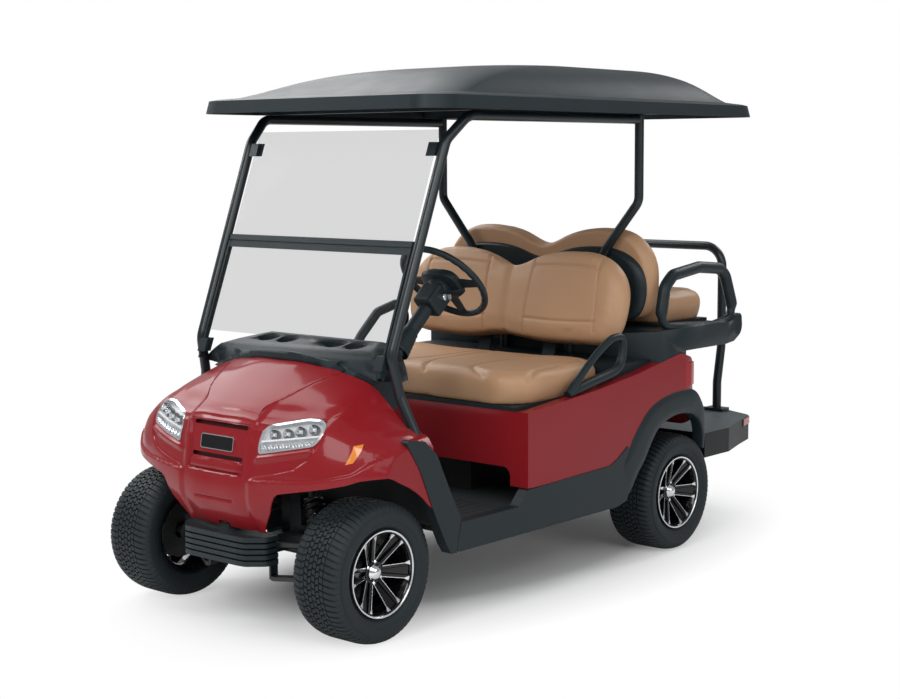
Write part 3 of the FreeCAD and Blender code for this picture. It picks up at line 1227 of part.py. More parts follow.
rear_board = doc.addObject("Part::Box", "rearBoard")
rear_board.setExpression("Length", "2 * Sizes.rear_cushion_half_width - 2 * Sizes.moving_gap")
rear_board.setExpression("Width", "Sizes.rear_cushion_rear - Sizes.rear_cushion_front - Sizes.moving_gap")
rear_board.setExpression("Height", "Sizes.rear_board_thickness")
keep(rear_board, "rear_seat_board", "Sizes.moving_gap - Sizes.rear_cushion_half_width",
     f"{station_shift} + Sizes.rear_cushion_front + Sizes.moving_gap / 2", "Sizes.rear_board_bottom")
shaped("rear_seat_back", rear_seat_back())
shaped("rear_seat_shell", rear_seat_shell())
shaped("rear_seat_cushion", rear_seat_cushion())

# Rear body: one thin moulding round the battery bay, cut for the wheels, with black flares

body_side_shares = [(0, 0), (0, 0.688), (0.36, 0.785, 2), (0.58, 0.868, 2), (0.83, 1, 1.2),
                    (0.91, 0.93, 1.2), (0.975, 0.62, 1), (1, 0.45, 1), (1, 0)]


def body_form(inset):
    half = v.body_half_width - inset
    front = v.body_front + inset
    rear = v.body_rear - inset
    low = v.body_bottom
    side = prism(fitted(body_side_shares, (front, rear), (low, v.body_rear_top - inset), v.overrun),
                 "YZ", -half, half)
    corner = v.body_corner - inset
    back = rear + v.body_wall
    plan = prism([(-half, front - v.overrun), (half, front - v.overrun), (half, back, corner),
                  (-half, back, corner)], "XY", low - v.overrun, v.overall_height)
    return side.common(plan)


shaped("front_armrests", front_armrests())

loop_shares = [(0, 0), (0.06, 0.7), (0.16, 0.9), (0.5, 1.0), (0.78, 0.94), (0.86, 0.8), (1, 0), (0.7, -0.1)]


def rear_seat_tray():
    """A shallow tray under the flip cushion, with an arm and handle at each side."""
    top = v.rear_board_bottom - v.fit_gap
    tray = block((-v.tray_half_width, v.tray_half_width), (v.tray_front, v.tray_rear),
                 (v.tray_bottom, top))
    hollow_skirt = block((-v.tray_half_width + v.tray_wall, v.tray_half_width - v.tray_wall),
                         (v.tray_front + v.tray_wall, v.tray_rear), (v.body_front_top, v.tray_bottom))
    hollow = block((-v.tray_half_width + v.tray_wall, v.tray_half_width - v.tray_wall),
                   (v.tray_front + v.tray_wall, v.tray_rear - v.tray_wall),
                   (v.tray_bottom - v.overrun, top - v.tray_wall))
    skirt = block((-v.tray_half_width, v.tray_half_width), (v.tray_front, v.tray_skirt_rear),
                  (v.body_front_top, v.tray_bottom))
    tray = tray.fuse(skirt).cut([hollow, hollow_skirt, body_form(0.0 - v.fit_gap)])
    arm = prism(fitted(tray_arm_shares, (v.tray_rear - v.tray_wall, v.tray_arm_rear),
                       (v.tray_bottom, top + v.loop_radius * 3), v.overrun), "YZ",
                v.loop_x - v.loop_radius * 1.2, v.tray_half_width)
    hoop = loop(loop_shares, (v.tray_front + v.overrun / 2, v.tray_arm_rear - v.loop_radius * 1.5),
                (top + v.loop_radius * 0.8, v.loop_top), v.loop_x, v.loop_bend, v.loop_radius)
    return joined(tray, arm, hoop, flip(arm), flip(hoop))


tray_arm_shares = [(0, 0), (0.5, 0.05, 0.5), (1, 0.3, 0.8), (0.92, 1, 0.4), (0.4, 0.62, 1), (0, 0.62)]
shaped("rear_seat_tray", rear_seat_tray())


def arch_disc(radius, low, high):
    return rod(vec(low, v.arch_station, v.arch_centre), vec(high, v.arch_station, v.arch_centre), radius)


def rear_body():
    outer = body_form(0.0)
    inner = body_form(v.body_wall)
    shell = outer.cut(inner)
    under = block((-v.body_half_width + v.body_wall, v.body_half_width - v.body_wall),
                  (v.body_front + v.body_wall, v.body_rear - v.body_wall),
                  (v.body_bottom - v.overrun, v.body_bottom + v.body_wall * 2))
    bay = block((-v.seat_half_width + v.overrun, v.seat_half_width - v.overrun),
                (v.seat_front + v.overrun, v.seat_rear - v.overrun), (v.body_bottom, v.overall_height))
    heel = prism([(-v.heel_half_width, v.body_bottom), (v.heel_half_width, v.body_bottom),
                  (v.heel_half_width, v.heel_height, v.moulding_corner),
                  (-v.heel_half_width, v.heel_height, v.moulding_corner)], "XZ",
                 v.body_front - v.overrun, v.body_front + v.overrun)
    seat_bed = block((-v.seat_half_width - v.moving_gap, v.seat_half_width + v.moving_gap),
                     (v.body_front - v.overrun, v.deck_rear), (v.body_front_top, v.overall_height))
    arches = pair(arch_disc(v.arch_radius - v.fit_gap, v.rocker_inner - v.overrun * 4, v.overall_width))
    shell = shell.cut([under, heel, arches, seat_bed])
    bed = block((v.body_wall / 2 - v.body_half_width, v.body_half_width - v.body_wall / 2),
                (v.body_front + v.body_wall / 2, v.deck_rear),
                (v.body_front_top - v.body_wall, v.body_front_top))
    deck_bay = block((-v.seat_half_width + v.overrun, v.seat_half_width - v.overrun),
                     (v.seat_rear + v.overrun, v.deck_rear), (v.body_bottom, v.overall_height))
    rocker = Part.Face(outline(rocker_outline(), "YZ", -v.overall_width)
                       .makeOffset2D(v.fit_gap, 0, False, False, True))
    rocker = rocker.extrude(vec(2 * v.overall_width, 0, 0))
    return shell.fuse(bed.cut([bay, deck_bay])).removeSplitter().cut(rocker)


shaped("rear_body", rear_body())


def rear_flares():
    """Bands round the wheel arches, outboard of the body's side."""
    band = arch_disc(v.arch_radius + v.flare_band, v.body_half_width - v.flare_wall * 6, v.flare_half_width)
    band = band.cut(arch_disc(v.arch_radius, 0, v.overall_width))
    keep_box = block((0, v.overall_width), (v.arch_station - v.arch_radius - v.flare_band,
                                            v.arch_station + v.arch_radius + v.flare_band),
                     (v.body_bottom, v.overall_height))
    rocker = Part.Face(outline(rocker_outline(), "YZ", 0).makeOffset2D(v.fit_gap, 0, False, False, True))
    rocker = rocker.extrude(vec(v.overall_width, 0, 0))
    corner = v.body_corner + v.flare_half_width - v.body_half_width
    plan = prism([(0, 0), (v.flare_half_width, 0), (v.flare_half_width, v.body_rear, corner), (0, v.body_rear)],
                 "XY", v.body_bottom, v.overall_height)
    inside = body_form(0.0 - v.fit_gap)
    return band.common(keep_box).common(plan).cut([rocker, inside])


shaped("rear_flares", pair(rear_flares()))


def tail_lamp():
    """A lamp let into each rear corner of the body, just proud of it."""
    corner_x = v.body_half_width - v.tail_lamp_width
    block_shape = block((corner_x, v.body_half_width + v.fit_gap),
                        (v.body_rear - v.body_corner * 1.1, v.body_rear),
                        (v.tail_lamp_bottom, v.tail_lamp_bottom + v.tail_lamp_height))
    return block_shape.common(body_form(0.0 - v.body_wall)).cut(body_form(0.0 - v.fit_gap))


shaped("tail_lamps", pair(tail_lamp()))

# Footplate for the rear passengers, and the grab hoop that stands on it

plate_shares = [(1, 0), (1, 0.3, 0.5), (0.9, 0.58, 1), (0.82, 0.84, 1), (0.5, 0.97, 1), (0, 1)]


def footplate():
    rear = v.overall_length - v.front_overhang
    half = plate_outline(v.plate_half_width, v.plate_front, rear)
    whole = prism(half, "XY", v.plate_top - v.plate_depth, v.plate_top)
    inner = prism(plate_outline(v.plate_half_width - v.plate_wall, v.plate_front + v.plate_wall,
                                rear - v.plate_wall), "XY",
                  v.plate_top - v.plate_depth - v.overrun, v.plate_top - v.plate_wall)
    plate = whole.cut(inner)
    rails = pair(block((rail_inner - v.fit_gap, rail_outer + v.fit_gap),
                       (v.plate_front - v.overrun, v.rail_end + v.fit_gap),
                       (v.rear_rail_bottom - v.overrun, rear_rail_top + v.fit_gap)))
    foot = pair(block((rail_inner, rail_outer), (v.plate_front + v.overrun, v.rail_end),
                      (rear_rail_top + v.fit_gap, v.plate_top - v.plate_wall)))
    return plate.fuse(foot).cut(rails).removeSplitter()


def plate_outline(half, front, rear):
    side = fitted(plate_shares, (0, half), (front, rear), v.plate_corner)
    return side + [(-x, y, r) for x, y, r in reversed(side[:-1])]


shaped("footplate", footplate())


def grab_hoop():
    low = v.plate_top + v.fit_gap
    half = v.hoop_half_width
    kink = v.hoop_foot / 3
    side = [vec(half, v.hoop_station - kink, low), vec(half, v.hoop_station - kink, low + v.hoop_foot * 1.4),
            vec(half, v.hoop_station, low + v.hoop_foot * 3.1), vec(half, v.hoop_station, v.hoop_top)]
    points = side + [vec(-p.x, p.y, p.z) for p in reversed(side)]
    hoop = pipe(points, v.hoop_bend, v.hoop_radius)
    feet = [block((side_x - v.hoop_foot / 2, side_x + v.hoop_foot / 2),
                  (v.hoop_station - kink - v.hoop_foot / 3, v.hoop_station - kink + v.hoop_foot / 3),
                  (low, low + v.hoop_foot_thickness)) for side_x in (-half, half)]
    return joined(hoop, *feet)


shaped("grab_hoop", grab_hoop())


def pedals():
    """Brake and accelerator pads hung on arms from the toe board."""
    toe_board = floor_pan()
    toe_board.translate(vec(0, v.fit_gap, 0))
    pieces = []
    for middle, width in ((v.wheel_x - v.pedal_width * 0.7, v.pedal_width),
                          (v.wheel_x + v.pedal_width * 0.75, v.accelerator_width)):
        pad = block((middle - width / 2, middle + width / 2),
                    (v.pedal_station, v.pedal_station + v.pedal_thickness),
                    (v.pedal_bottom, v.pedal_bottom + v.pedal_height))
        pad.rotate(vec(0, v.pedal_station, v.pedal_bottom), vec(1, 0, 0), v.pedal_lean)
        arm = rod(vec(middle, v.pedal_station - v.pedal_height * 0.2, v.pedal_bottom + v.pedal_height * 0.5),
                  vec(middle, v.toe_top_station + v.overrun * 1.05, v.pedal_bottom + v.pedal_height * 0.3),
                  v.pedal_arm)
        pieces.append(joined(pad, arm).cut(toe_board))
    return Part.makeCompound(pieces)


shaped("pedals", pedals())


doc.recompute()
for piece in kept:
    assert "Invalid" not in piece.State and "Error" not in piece.State, piece.Label
    assert not piece.Shape.isNull() and piece.Shape.isValid(), piece.Label
    piece.Shape.exportStep(f"parts/{piece.Label}.step")
    print(piece.Label, len(piece.Shape.Solids), piece.Shape.optimalBoundingBox(False))
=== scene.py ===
import bpy
import bmesh
import json
import math
import numpy as np
from mathutils import Matrix, Vector
from mathutils.bvhtree import BVHTree


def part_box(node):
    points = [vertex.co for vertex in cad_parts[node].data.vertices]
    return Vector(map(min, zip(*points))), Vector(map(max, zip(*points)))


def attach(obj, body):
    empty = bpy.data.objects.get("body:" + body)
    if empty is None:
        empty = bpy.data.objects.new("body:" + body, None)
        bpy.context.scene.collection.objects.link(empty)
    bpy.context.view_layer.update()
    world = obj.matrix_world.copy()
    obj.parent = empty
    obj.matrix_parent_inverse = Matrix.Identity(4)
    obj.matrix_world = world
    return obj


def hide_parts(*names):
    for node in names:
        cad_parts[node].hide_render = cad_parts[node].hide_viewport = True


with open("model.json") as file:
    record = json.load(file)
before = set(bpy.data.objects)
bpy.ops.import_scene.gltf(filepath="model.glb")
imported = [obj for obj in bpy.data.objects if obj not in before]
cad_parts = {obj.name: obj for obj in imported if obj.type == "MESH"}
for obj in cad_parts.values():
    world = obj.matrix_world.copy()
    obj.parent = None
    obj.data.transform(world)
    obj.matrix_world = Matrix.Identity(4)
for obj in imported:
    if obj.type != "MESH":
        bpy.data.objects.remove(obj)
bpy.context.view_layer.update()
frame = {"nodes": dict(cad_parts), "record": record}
nodes = frame["nodes"]
scene = bpy.context.scene
frontAxle = -1.1375  # row y of the front axle
hands = ((1, "left"), (-1, "right"))


def at(x, station, z):  # station is measured rearward from the front axle
    return Vector((x, station + frontAxle, z))


# Shader helpers

def setInputs(node, values):
    for socket, value in values.items():
        node.inputs[socket].default_value = value
    return node


def addNode(tree, kind, values=(), **settings):
    node = tree.nodes.new("ShaderNode" + kind)
    for setting, value in settings.items():
        setattr(node, setting, value)
    return setInputs(node, dict(values))


def joinUp(tree, pairs):
    for source, target in pairs:
        tree.links.new(source, target)


# Blends two colours, each a value or a socket, by a mask
def mixColors(tree, mask, low, high):
    mix = addNode(tree, "Mix", data_type="RGBA")
    tree.links.new(mask, mix.inputs[0])
    for socket, color in ((mix.inputs[6], low), (mix.inputs[7], high)):
        if isinstance(color, bpy.types.NodeSocket):
            tree.links.new(color, socket)
        else:
            socket.default_value = (*color, 1)
    return mix.outputs[2]


def newMaterial(name, values):
    made = bpy.data.materials.new(name)
    made.use_nodes = True
    tree = made.node_tree
    return made, tree, setInputs(tree.nodes["Principled BSDF"], values)


# Shader groups: each puts out a mask or a normal
def newGroup(name, inputs, outputs):
    group = bpy.data.node_groups.new(name, "ShaderNodeTree")
    for label, value in inputs.items():
        group.interface.new_socket(label, in_out="INPUT", socket_type="NodeSocketFloat").default_value = value
    for label, kind in outputs.items():
        group.interface.new_socket(label, in_out="OUTPUT", socket_type="NodeSocket" + kind)
    return group, group.nodes.new("NodeGroupInput").outputs, group.nodes.new("NodeGroupOutput").inputs


# Moulded or coated surface: fine cells over a slow unevenness
def surfaceGrain():
    group, given, out = newGroup("surfaceGrain", {"Scale": 600.0, "Depth": 0.1, "Wave": 0.05},
                                 {"Normal": "Vector", "Mask": "Float"})
    place = addNode(group, "TexCoord").outputs["Object"]
    cells = addNode(group, "TexVoronoi")
    slow = addNode(group, "TexNoise", {"Scale": 9.0, "Detail": 3.0})
    fine = addNode(group, "Bump", {"Distance": 0.0004})
    broad = addNode(group, "Bump", {"Distance": 0.004})
    joinUp(group, (
        (place, cells.inputs["Vector"]), (place, slow.inputs["Vector"]), (given["Scale"], cells.inputs["Scale"]),
        (given["Depth"], fine.inputs["Strength"]), (cells.outputs["Distance"], fine.inputs["Height"]),
        (given["Wave"], broad.inputs["Strength"]), (slow.outputs["Fac"], broad.inputs["Height"]),
        (fine.outputs["Normal"], broad.inputs["Normal"]), (broad.outputs["Normal"], out["Normal"]),
        (slow.outputs["Fac"], out["Mask"])))
    return group


# A mask that is high where dust gathers low on the vehicle
def lowDust():
    group, given, out = newGroup("lowDust", {"Height": 0.45, "Amount": 0.3}, {"Mask": "Float"})
    place = addNode(group, "TexCoord").outputs["Object"]
    split = addNode(group, "SeparateXYZ")
    fall = addNode(group, "MapRange", {"From Min": 0.0, "To Min": 1.0, "To Max": 0.0})
    specks = addNode(group, "TexNoise", {"Scale": 38.0, "Detail": 5.0})
    times = addNode(group, "Math", operation="MULTIPLY")
    amount = addNode(group, "Math", operation="MULTIPLY")
    joinUp(group, (
        (place, split.inputs[0]), (split.outputs["Z"], fall.inputs["Value"]),
        (given["Height"], fall.inputs["From Max"]),
        (place, specks.inputs["Vector"]), (fall.outputs["Result"], times.inputs[0]),
        (specks.outputs["Fac"], times.inputs[1]), (times.outputs[0], amount.inputs[0]),
        (given["Amount"], amount.inputs[1]), (amount.outputs[0], out["Mask"])))
    return group


grain = surfaceGrain()
dust = lowDust()
dustColor = (0.16, 0.145, 0.125)


# A surface whose colour and roughness vary slowly, with a fine grain and a little low dust
def material(name, color, roughness, metallic=0.0, coat=0.0, coatRoughness=0.05, scale=600.0, depth=0.1,
             wave=0.05, darker=0.85, spread=0.06, specular=0.5, dusty=0.0):
    made, tree, shader = newMaterial(name, {"Metallic": metallic, "Coat Weight": coat, "Coat Roughness": coatRoughness,
                                            "Specular IOR Level": specular})
    effect = addNode(tree, "Group", {"Scale": scale, "Depth": depth, "Wave": wave}, node_tree=grain)
    shade = mixColors(tree, effect.outputs["Mask"], [c * darker for c in color], color)
    if dusty:
        low = addNode(tree, "Group", {"Amount": dusty}, node_tree=dust)
        shade = mixColors(tree, low.outputs["Mask"], shade, dustColor)
    rough = addNode(tree, "MapRange", {"To Min": max(0.02, roughness - spread), "To Max": roughness + spread})
    joinUp(tree, ((shade, shader.inputs["Base Color"]), (effect.outputs["Mask"], rough.inputs["Value"]),
                  (rough.outputs["Result"], shader.inputs["Roughness"]),
                  (effect.outputs["Normal"], shader.inputs["Normal"])))
    return made


def clearMaterial(name, color, alpha, roughness, specular):
    made, tree, shader = newMaterial(name, {"Roughness": roughness, "Alpha": alpha, "IOR": 1.49,
                                            "Specular IOR Level": specular})
    haze = addNode(tree, "TexNoise", {"Scale": 3.0})
    shade = mixColors(tree, haze.outputs["Fac"], [c * 0.94 for c in color], color)
    tree.links.new(shade, shader.inputs["Base Color"])
    return made


looks = {
    "bodyPaint": dict(color=(0.235, 0.0105, 0.0150), roughness=0.36, coat=0.36, coatRoughness=0.09, scale=900,
                      depth=0.0, wave=0.012, darker=0.95, specular=0.08, spread=0.03),
    "seamShadow": dict(color=(0.085, 0.005, 0.007), roughness=0.6, scale=600, depth=0.05),
    "trimPlastic": dict(color=(0.014, 0.022, 0.026), roughness=0.42, scale=1100, depth=0.16, wave=0.03,
                        specular=0.24, dusty=0.04),
    "roofShell": dict(color=(0.014, 0.022, 0.026), roughness=0.46, scale=800, depth=0.12, wave=0.03, specular=0.18),
    "frameCoat": dict(color=(0.009, 0.015, 0.018), roughness=0.30, scale=1500, depth=0.1, wave=0.02, specular=0.4),
    "suspensionSteel": dict(color=(0.03, 0.033, 0.036), roughness=0.5, metallic=0.3, scale=700, depth=0.2, dusty=0.3),
    "tyreRubber": dict(color=(0.012, 0.018, 0.021), roughness=0.62, scale=500, depth=0.15, wave=0.04, specular=0.35),
    "rimGloss": dict(color=(0.003, 0.003, 0.004), roughness=0.10, scale=1500, depth=0.0, wave=0.01, spread=0.03,
                     specular=0.45),
    "rimMachined": dict(color=(0.86, 0.87, 0.89), roughness=0.22, metallic=1.0, scale=2000, depth=0.0, wave=0.01,
                        darker=0.95),
    "chrome": dict(color=(0.84, 0.85, 0.87), roughness=0.10, metallic=1.0, scale=2000, depth=0.0, wave=0.01,
                   darker=0.97, spread=0.02),
    "seatVinyl": dict(color=(0.45, 0.262, 0.147), roughness=0.46, scale=520, depth=0.22, wave=0.08, darker=0.9,
                      specular=0.35),
    "seatThread": dict(color=(0.52, 0.33, 0.20), roughness=0.7, scale=900, depth=0.2),
    "floorMat": dict(color=(0.016, 0.021, 0.024), roughness=0.6, scale=600, depth=0.3, wave=0.05, dusty=0.3),
    "batteryCase": dict(color=(0.010, 0.010, 0.011), roughness=0.5, scale=600, depth=0.2),
    "lampRed": dict(color=(0.34, 0.007, 0.009), roughness=0.25, coat=0.25, specular=0.2, scale=300, depth=0.15),
    "lampAmber": dict(color=(0.72, 0.21, 0.01), roughness=0.2, coat=1.0, scale=300, depth=0.15),
    "lampMetal": dict(color=(0.82, 0.83, 0.85), roughness=0.16, metallic=1.0, scale=900, depth=0.0, wave=0.0),
    "lampDark": dict(color=(0.012, 0.014, 0.016), roughness=0.3, scale=900, depth=0.0),
    "lampWhite": dict(color=(0.80, 0.82, 0.84), roughness=0.25, scale=900, depth=0.0),
}
clearLooks = {
    "clearPane": dict(color=(0.05, 0.055, 0.057), alpha=0.18, roughness=0.04, specular=0.02),
    "lampClear": dict(color=(0.80, 0.82, 0.84), alpha=0.07, roughness=0.03, specular=0.5),
}
finishes = {name: material(name, **facts) for name, facts in looks.items()}
finishes.update({name: clearMaterial(name, **facts) for name, facts in clearLooks.items()})

slotFinish = {
    "tyre_rubber": "tyreRubber", "rim_alloy": "rimGloss", "body_red": "bodyPaint", "seat_vinyl": "seatVinyl",
    "frame_coat": "frameCoat", "suspension_steel": "suspensionSteel", "clear_pane": "clearPane",
    "lamp_clear": "lampClear", "lamp_red": "lampRed", "battery_case": "batteryCase", "roof_shell": "roofShell",
    "floor_mat": "floorMat", "trim_plastic": "trimPlastic",
}


def coatNode(node, finish):
    for place in range(len(nodes[node].material_slots)):
        nodes[node].material_slots[place].material = finish


for part in frame["record"]["subparts"]:
    coatNode(part["node"], finishes[slotFinish[part["material_slot"]]])
print("stage: materials")


# Mesh helpers

def newMesh(name, points, faces):
    mesh = bpy.data.meshes.new(name)
    mesh.from_pydata([tuple(p) for p in points], [], faces)
    return mesh


def newPiece(name, mesh):
    piece = bpy.data.objects.new(name, mesh)
    scene.collection.objects.link(piece)
    return piece


# Gives a piece its name, finishes and body, and smooth shading with creases past the sharp angle in degrees
def dress(piece, name, finishNames, body="chassis", sharp=35, replaced=None, marks=None):
    mesh = piece.data
    piece.name = mesh.name = name
    mesh.materials.clear()
    for finish in finishNames:
        mesh.materials.append(finishes[finish])
    mesh.polygons.foreach_set("material_index", marks or [0] * len(mesh.polygons))
    mesh.shade_smooth()
    mesh.update()
    if sharp:
        mesh.set_sharp_from_angle(angle=math.radians(sharp))
    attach(piece, body)
    if replaced:
        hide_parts(replaced)
    return piece


def gridFaces(rows, columns, wrapRows=False, wrapColumns=False):
    faces = []
    for r in range(rows if wrapRows else rows - 1):
        for c in range(columns if wrapColumns else columns - 1):
            nextRow, nextColumn = (r + 1) % rows, (c + 1) % columns
            faces.append((r * columns + c, r * columns + nextColumn, nextRow * columns + nextColumn,
                          nextRow * columns + c))
    return faces


def applyModifiers(piece):
    graph = bpy.context.evaluated_depsgraph_get()
    graph.update()
    made = bpy.data.meshes.new_from_object(piece.evaluated_get(graph))
    old = piece.data
    piece.modifiers.clear()
    piece.data = made
    if old.users == 0:
        bpy.data.meshes.remove(old)


def modify(piece, kind, **settings):
    edit = piece.modifiers.new(kind.lower(), kind)
    for setting, value in settings.items():
        setattr(edit, setting, value)
    applyModifiers(piece)


# Smooth values between chosen places
def curveThrough(keys, values, where):
    keys, values, where = (np.asarray(numbers, float) for numbers in (keys, values, where))
    slopes = np.gradient(values, keys, axis=0)
    low = np.clip(np.searchsorted(keys, where) - 1, 0, len(keys) - 2)
    span = keys[low + 1] - keys[low]
    share = (where - keys[low]) / span
    shape = (-1,) + (1,) * (values.ndim - 1)
    share = share.reshape(shape)
    span = span.reshape(shape)
    return ((2 * share**3 - 3 * share**2 + 1) * values[low] + (share**3 - 2 * share**2 + share) * span * slopes[low]
            + (3 * share**2 - 2 * share**3) * values[low + 1] + (share**3 - share**2) * span * slopes[low + 1])


# Evenly spaced places along a list of keys, with so many steps between two
def fineKeys(keys, steps):
    return np.linspace(0, len(keys) - 1, steps * (len(keys) - 1) + 1)


def smoothLine(points, steps):
    return curveThrough(np.arange(len(points)), points, fineKeys(points, steps))


def step(low, high, value):  # rises smoothly from 0 to 1
    share = np.clip((np.asarray(value, float) - low) / (high - low), 0, 1)
    return share * share * (3 - 2 * share)


def band(value, rise, fall):  # rises from 0 to 1, then falls to 0
    return step(*rise, value) * (1 - step(*fall, value))


def turned(one, two, turn):
    return one * math.cos(turn) + two * math.sin(turn)


# Rings of points round a path, for a tube that may be flattened
def tubePoints(path, radius, sides=16, flat=1.0, flatAxis=None):
    rings = []
    normal = None
    count = len(path)
    for index in range(count):
        ahead = path[min(index + 1, count - 1)] - path[max(index - 1, 0)]
        ahead.normalize()
        if normal is None:
            normal = flatAxis if flatAxis is not None else ahead.orthogonal()
        normal = (normal - ahead * normal.dot(ahead)).normalized()
        across = ahead.cross(normal)
        size = radius[index] if isinstance(radius, (list, tuple)) else radius
        for side in range(sides):
            turn = 2 * math.pi * side / sides
            rings.append(path[index] + normal * (math.cos(turn) * size * flat) + across * (math.sin(turn) * size))
    return rings


def tubeFaces(count, sides, capped=True):
    faces = gridFaces(count, sides, wrapColumns=True)
    if capped:
        faces.append(tuple(reversed(range(sides))))
        faces.append(tuple((count - 1) * sides + side for side in range(sides)))
    return faces


def newForm():
    return {"points": [], "faces": [], "marks": []}


def addPart(form, points, faces, mark=0):
    start = len(form["points"])
    form["points"] += [Vector(p) for p in points]
    form["faces"] += [tuple(start + corner for corner in face) for face in faces]
    form["marks"] += [mark] * len(faces)


boxFaces = [(0, 1, 2, 3), (7, 6, 5, 4), (0, 4, 5, 1), (1, 5, 6, 2), (2, 6, 7, 3), (3, 7, 4, 0)]


# Revolves (along, radius) pairs about an axis through a centre
def addTurned(form, profile, centre, axis, sides=32, mark=0):
    axis = Vector(axis).normalized()
    one = axis.orthogonal().normalized()
    two = axis.cross(one)
    points = [Vector(centre) + axis * along + turned(one, two, 2 * math.pi * side / sides) * radius
              for along, radius in profile for side in range(sides)]
    addPart(form, points, tubeFaces(len(profile), sides, capped=False), mark)


# A straight bar with chamfered edges, its depth measured along up
def addBar(form, start, end, width, depth, up, mark=0, taper=1.0):
    start, end, up = Vector(start), Vector(end), Vector(up)
    ahead = (end - start).normalized()
    up = (up - ahead * up.dot(ahead)).normalized()
    side = ahead.cross(up)
    w, d = width / 2, depth / 2
    b = min(w, d) * 0.3
    section = [(w, d - b), (w - b, d), (b - w, d), (-w, d - b), (-w, b - d), (b - w, -d), (w - b, -d), (w, b - d)]
    points = [start + side * x + up * y for x, y in section]
    points += [end + side * (x * taper) + up * (y * taper) for x, y in section]
    addPart(form, points, tubeFaces(2, 8), mark)


def addTube(form, path, radius, sides=16, flat=1.0, flatAxis=None):
    path = [Vector(point) for point in path]
    addPart(form, tubePoints(path, radius, sides, flat, flatAxis), tubeFaces(len(path), sides))


def placeForm(form, name, finishNames, body="chassis", sharp=35, replaced=None):
    mesh = newMesh(name, form["points"], form["faces"])
    return dress(newPiece(name, mesh), name, finishNames, body, sharp, replaced, form["marks"])


# Tyres: a zigzag tread of small blocks between ring grooves, and a comb of cuts over each shoulder

tyre = {
    "radius": 0.230, "pitches": 68, "columns": 6, "treadHalf": 0.051, "grooveHalf": 0.0017, "grooveDepth": 0.006,
    "cut": (0.0, 0.16, 0.24, 0.92), "slant": 0.2, "stagger": 0.5, "shoulderSlant": 9,
    "crown": {"start": 0.045, "width": 0.027, "drop": 0.0042},
    "shoulder": ((0.0528, 0.2297, 0.0055), (0.0640, 0.2285, 0.0055), (0.0765, 0.2258, 0.005),
                 (0.088, 0.2215, 0.0042), (0.0955, 0.212, 0.0032), (0.1, 0.203, 0.0014)),
    "wall": ((0.1022, 0.198), (0.1028, 0.19), (0.1024, 0.181), (0.1002, 0.1725), (0.0985, 0.1715), (0.0975, 0.168),
             (0.0945, 0.16), (0.0905, 0.153), (0.0893, 0.1528), (0.0845, 0.147), (0.081, 0.1435), (0.0795, 0.136),
             (0.08, 0.129)),
}
wheels = {
    "front_left": {"x": 0.465, "station": 0.0, "body": "wheel_front_left"},
    "front_right": {"x": -0.465, "station": 0.0, "body": "wheel_front_right"},
    "rear_left": {"x": 0.485, "station": 1.664, "body": "wheel_rear_left"},
    "rear_right": {"x": -0.485, "station": 1.664, "body": "wheel_rear_right"},
}


# Each entry: place across, radius, depth lost at a cut, turn of the cut, always low
def tyreSection():
    half, gap, crown = tyre["treadHalf"], tyre["grooveHalf"], tyre["crown"]
    wide = 2 * half / tyre["columns"]
    tread = []
    for column in range(tyre["columns"]):
        low, high = -half + wide * column + gap, -half + wide * (column + 1) - gap
        lean = tyre["slant"] if column % 2 else -tyre["slant"]
        turn = column * tyre["stagger"]
        for x, lowered, shift in ((low, True, turn), (low, False, turn), (high, False, turn + lean),
                                  (high, True, turn + lean)):
            top = tyre["radius"] - crown["drop"] * max(0.0, (abs(x) - crown["start"]) / crown["width"]) ** 2
            tread.append((x, top, tyre["grooveDepth"], shift, lowered))
    last = tread[-1][3]
    outer = [(x, r, depth, last + tyre["shoulderSlant"] * (x - half), False) for x, r, depth in tyre["shoulder"]]
    outer += [(x, r, 0.0, 0.0, False) for x, r in tyre["wall"]]
    inner = [(-x, r, depth, tread[0][3] + last - shift, low) for x, r, depth, shift, low in reversed(outer)]
    return inner + tread + outer


def tyreForm(x, station):
    section = tyreSection()
    points = []
    for pitch in range(tyre["pitches"]):
        for number, share in enumerate(tyre["cut"]):
            for across, radius, depth, shift, lowered in section:
                size = radius - (depth if lowered or number < 2 else 0.0)
                turn = 2 * math.pi * (pitch + share + (shift if depth else 0.0)) / tyre["pitches"]
                points.append(at(x + across, station, tyre["radius"])
                              + Vector((0, math.cos(turn), math.sin(turn))) * size)
    form = newForm()
    rows = tyre["pitches"] * len(tyre["cut"])
    addPart(form, points, gridFaces(rows, len(section), wrapRows=True, wrapColumns=True))
    return form


for name, facts in wheels.items():
    placeForm(tyreForm(facts["x"], facts["station"]), "tyreTread_" + name, ["tyreRubber"], facts["body"], 32,
              "tyre_" + name)
print("stage: tyres")

# Rims: six double spokes with machined edges, a machined lip, pads at the spoke ends and a chromed cap

